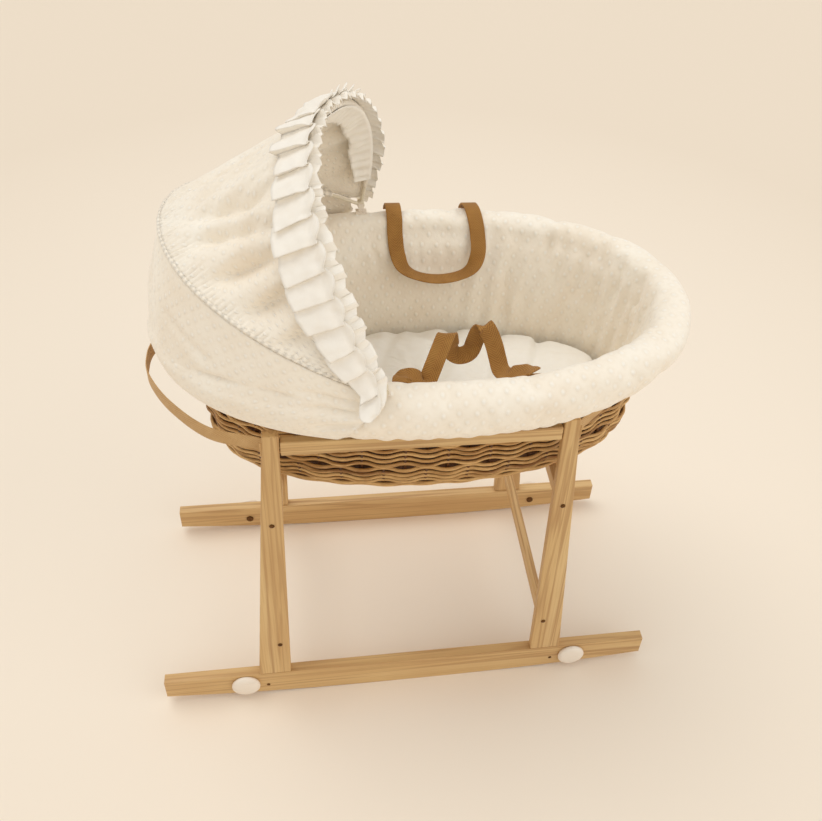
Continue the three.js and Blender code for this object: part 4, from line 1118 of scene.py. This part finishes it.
def frontFrillPoint(u, v):  # a full gathered frill that curls forwards over the hoop
    u = mix(-frill["tail"], 1 + frill["tail"], u)
    turn, fore, rearward, tangent, up, size = frillPlace(u, frill["standoff"] - 0.003)
    wander = lumps((u * 9, 2, 0), 0.5)
    wave = 2 * pi * frill["curls"] * u + 4.0 * wander
    full = 1 + 0.9 * lumps((u * 40, 1, 0), 1.0)
    ahead = frill["ahead"] * mix(1.0, frill["apexAheadShare"], math.sin(turn)) * size
    reach = ahead * math.sin(min(v * 1.25, 1.25)) / math.sin(1.25) * (1 + 0.14 * math.sin(wave * 0.5 + 1))
    swing = math.sin(min(v * 1.6, 1.57)) * (0.3 + 0.7 * ahead / frill["ahead"]) * full
    lift = frill["curlDepth"] * swing * (math.sin(wave) + 0.3 * math.sin(2 * wave + 5 * wander))
    lift -= 0.42 * ahead * v ** 1.6
    fold = 0.0024 * swing * math.sin(2 * wave + 0.4 * wander)
    here = fore - rearward * reach
    crumple = 0.005 * v * lumps(here, 0.016, 6) * ahead / frill["ahead"]
    return here + up * (lift + crumple) + tangent * fold


def innerFrillPoint(u, v):  # the gathered facing that hides the hoop from inside
    u = mix(frill["facingStart"], 1 - frill["facingStart"], u)
    turn, fore, rearward, tangent, up, size = frillPlace(u, frill["facingOut"])
    wander = lumps((u * 9, 5, 0), 0.5)
    wave = 1.7 * pi * frill["curls"] * u + 4.0 * wander
    here = fore + rearward * mix(-0.006, frill["facing"] * size * (1 + 0.2 * wander), v)
    dip = 0.004 * v + 0.003 * smooth(1.3 * v) * math.sin(wave) + 0.003 * v * lumps(here, 0.016, 7)
    return here - up * dip


for name, rows, point, size, area, body in (
        ("ruffle_inner", frill["innerRows"], innerFrillPoint, (1.0, 0.04), 0.0290, None),
        ("ruffle_back", frill["backRows"], backFrillPoint, (1.55, 0.064), 0.0706, None),
        ("ruffle_front", frill["frontRows"], frontFrillPoint, (1.2, 0.036), 0.0219, "hood_front")):
    bm = gridSheet(rows, frill["columns"], point, size)
    piece = sheetPiece(name, bm, cotton, body, "hood_ruffle", frill["thickness"])
    if not body:  # these lie on the hood's cloth and, like it, are joined to no body
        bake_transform(piece)
print("hood made")


# floor, light and camera

studio = {
    "floor": tint(248, 236, 219), "edge": tint(235, 221, 202), "floorSize": 14.0, "middle": (0.05, 0.3),
    "near": 0.5, "far": 1.9, "backdrop": tint(241, 225, 204), "sky": (1.0, 0.985, 0.96, 1.0),
    "skyStrength": 0.70,
    "lamps": {  # strength, angle, colour and the way it shines
        "sun": (0.84, 44, (1.0, 0.985, 0.955), (0.34, -0.26, -1.0)),
        "glow": (0.55, 60, (1.0, 0.98, 0.95), (-1.0, 0.75, -0.62))},
}

bm = bmesh.new()
bmesh.ops.create_grid(bm, x_segments=2, y_segments=2, size=studio["floorSize"])
floorMesh = bpy.data.meshes.new("floor")
bm.to_mesh(floorMesh)
bm.free()
floor = bpy.data.objects.new("floor", floorMesh)
bpy.context.scene.collection.objects.link(floor)
floorFinish = Finish("floorPaper", studio["floor"], 0.9, Specular_IOR_Level=0.1)
# the floor's colour is painted: lighter round the basket as a painted pool of light, darker further out as
# painted falloff
fromMiddle = floorFinish.node("ShaderNodeVectorMath", {"operation": "DISTANCE"}, {
    0: floorFinish.node("ShaderNodeTexCoord", output="Object"), 1: (*studio["middle"], 0.0)}, output="Value")
floorMesh.materials.append(floorFinish.feed(Base_Color=floorFinish.blendColors(
    floorFinish.span(fromMiddle, studio["near"], studio["far"]), studio["floor"], studio["edge"])))

world = bpy.data.worlds.new("studio")
bpy.context.scene.world = world
world.use_nodes = True
worldNodes, joinNodes = world.node_tree.nodes, world.node_tree.links.new
sky = worldNodes["Background"]
sky.inputs["Color"].default_value, sky.inputs["Strength"].default_value = studio["sky"], studio["skyStrength"]
backdrop = worldNodes.new("ShaderNodeBackground")  # what the camera, polished things and clear things see
backdrop.inputs["Color"].default_value = studio["backdrop"]
rays = worldNodes.new("ShaderNodeLightPath")
seen = rays.outputs["Is Camera Ray"]
for kind in ("Is Glossy Ray", "Is Transmission Ray"):
    either = worldNodes.new("ShaderNodeMath")
    either.operation = "MAXIMUM"
    joinNodes(seen, either.inputs[0])
    joinNodes(rays.outputs[kind], either.inputs[1])
    seen = either.outputs[0]
surroundings = worldNodes.new("ShaderNodeMixShader")
joinNodes(seen, surroundings.inputs[0])
joinNodes(sky.outputs[0], surroundings.inputs[1])
joinNodes(backdrop.outputs[0], surroundings.inputs[2])
joinNodes(surroundings.outputs[0], worldNodes["World Output"].inputs["Surface"])

for name, (strength, degrees, color, towards) in studio["lamps"].items():
    lamp = bpy.data.lights.new(name, "SUN")
    lamp.energy, lamp.angle, lamp.color = strength, math.radians(degrees), color
    light = bpy.data.objects.new(name, lamp)
    light.rotation_euler = Vector(towards).to_track_quat("-Z", "Y").to_euler()
    bpy.context.scene.collection.objects.link(light)

view = {"place": (-0.15319, -1.17136, 1.61515), "turn": (47.7071, -4.3134, -8.8825), "lens": 41.953,
        "shift": (-0.07813, -0.01895)}
camera = bpy.data.objects.new("camera", bpy.data.cameras.new("camera"))
camera.data.sensor_width, camera.data.lens = 36.0, view["lens"]
camera.data.shift_x, camera.data.shift_y = view["shift"]
camera.location = view["place"]
camera.rotation_euler = [math.radians(a) for a in view["turn"]]
camera.data.clip_end = 60.0
bpy.context.scene.collection.objects.link(camera)
bpy.context.scene.camera = camera
bpy.context.scene.view_settings.view_transform = "Standard"
print("stage made")
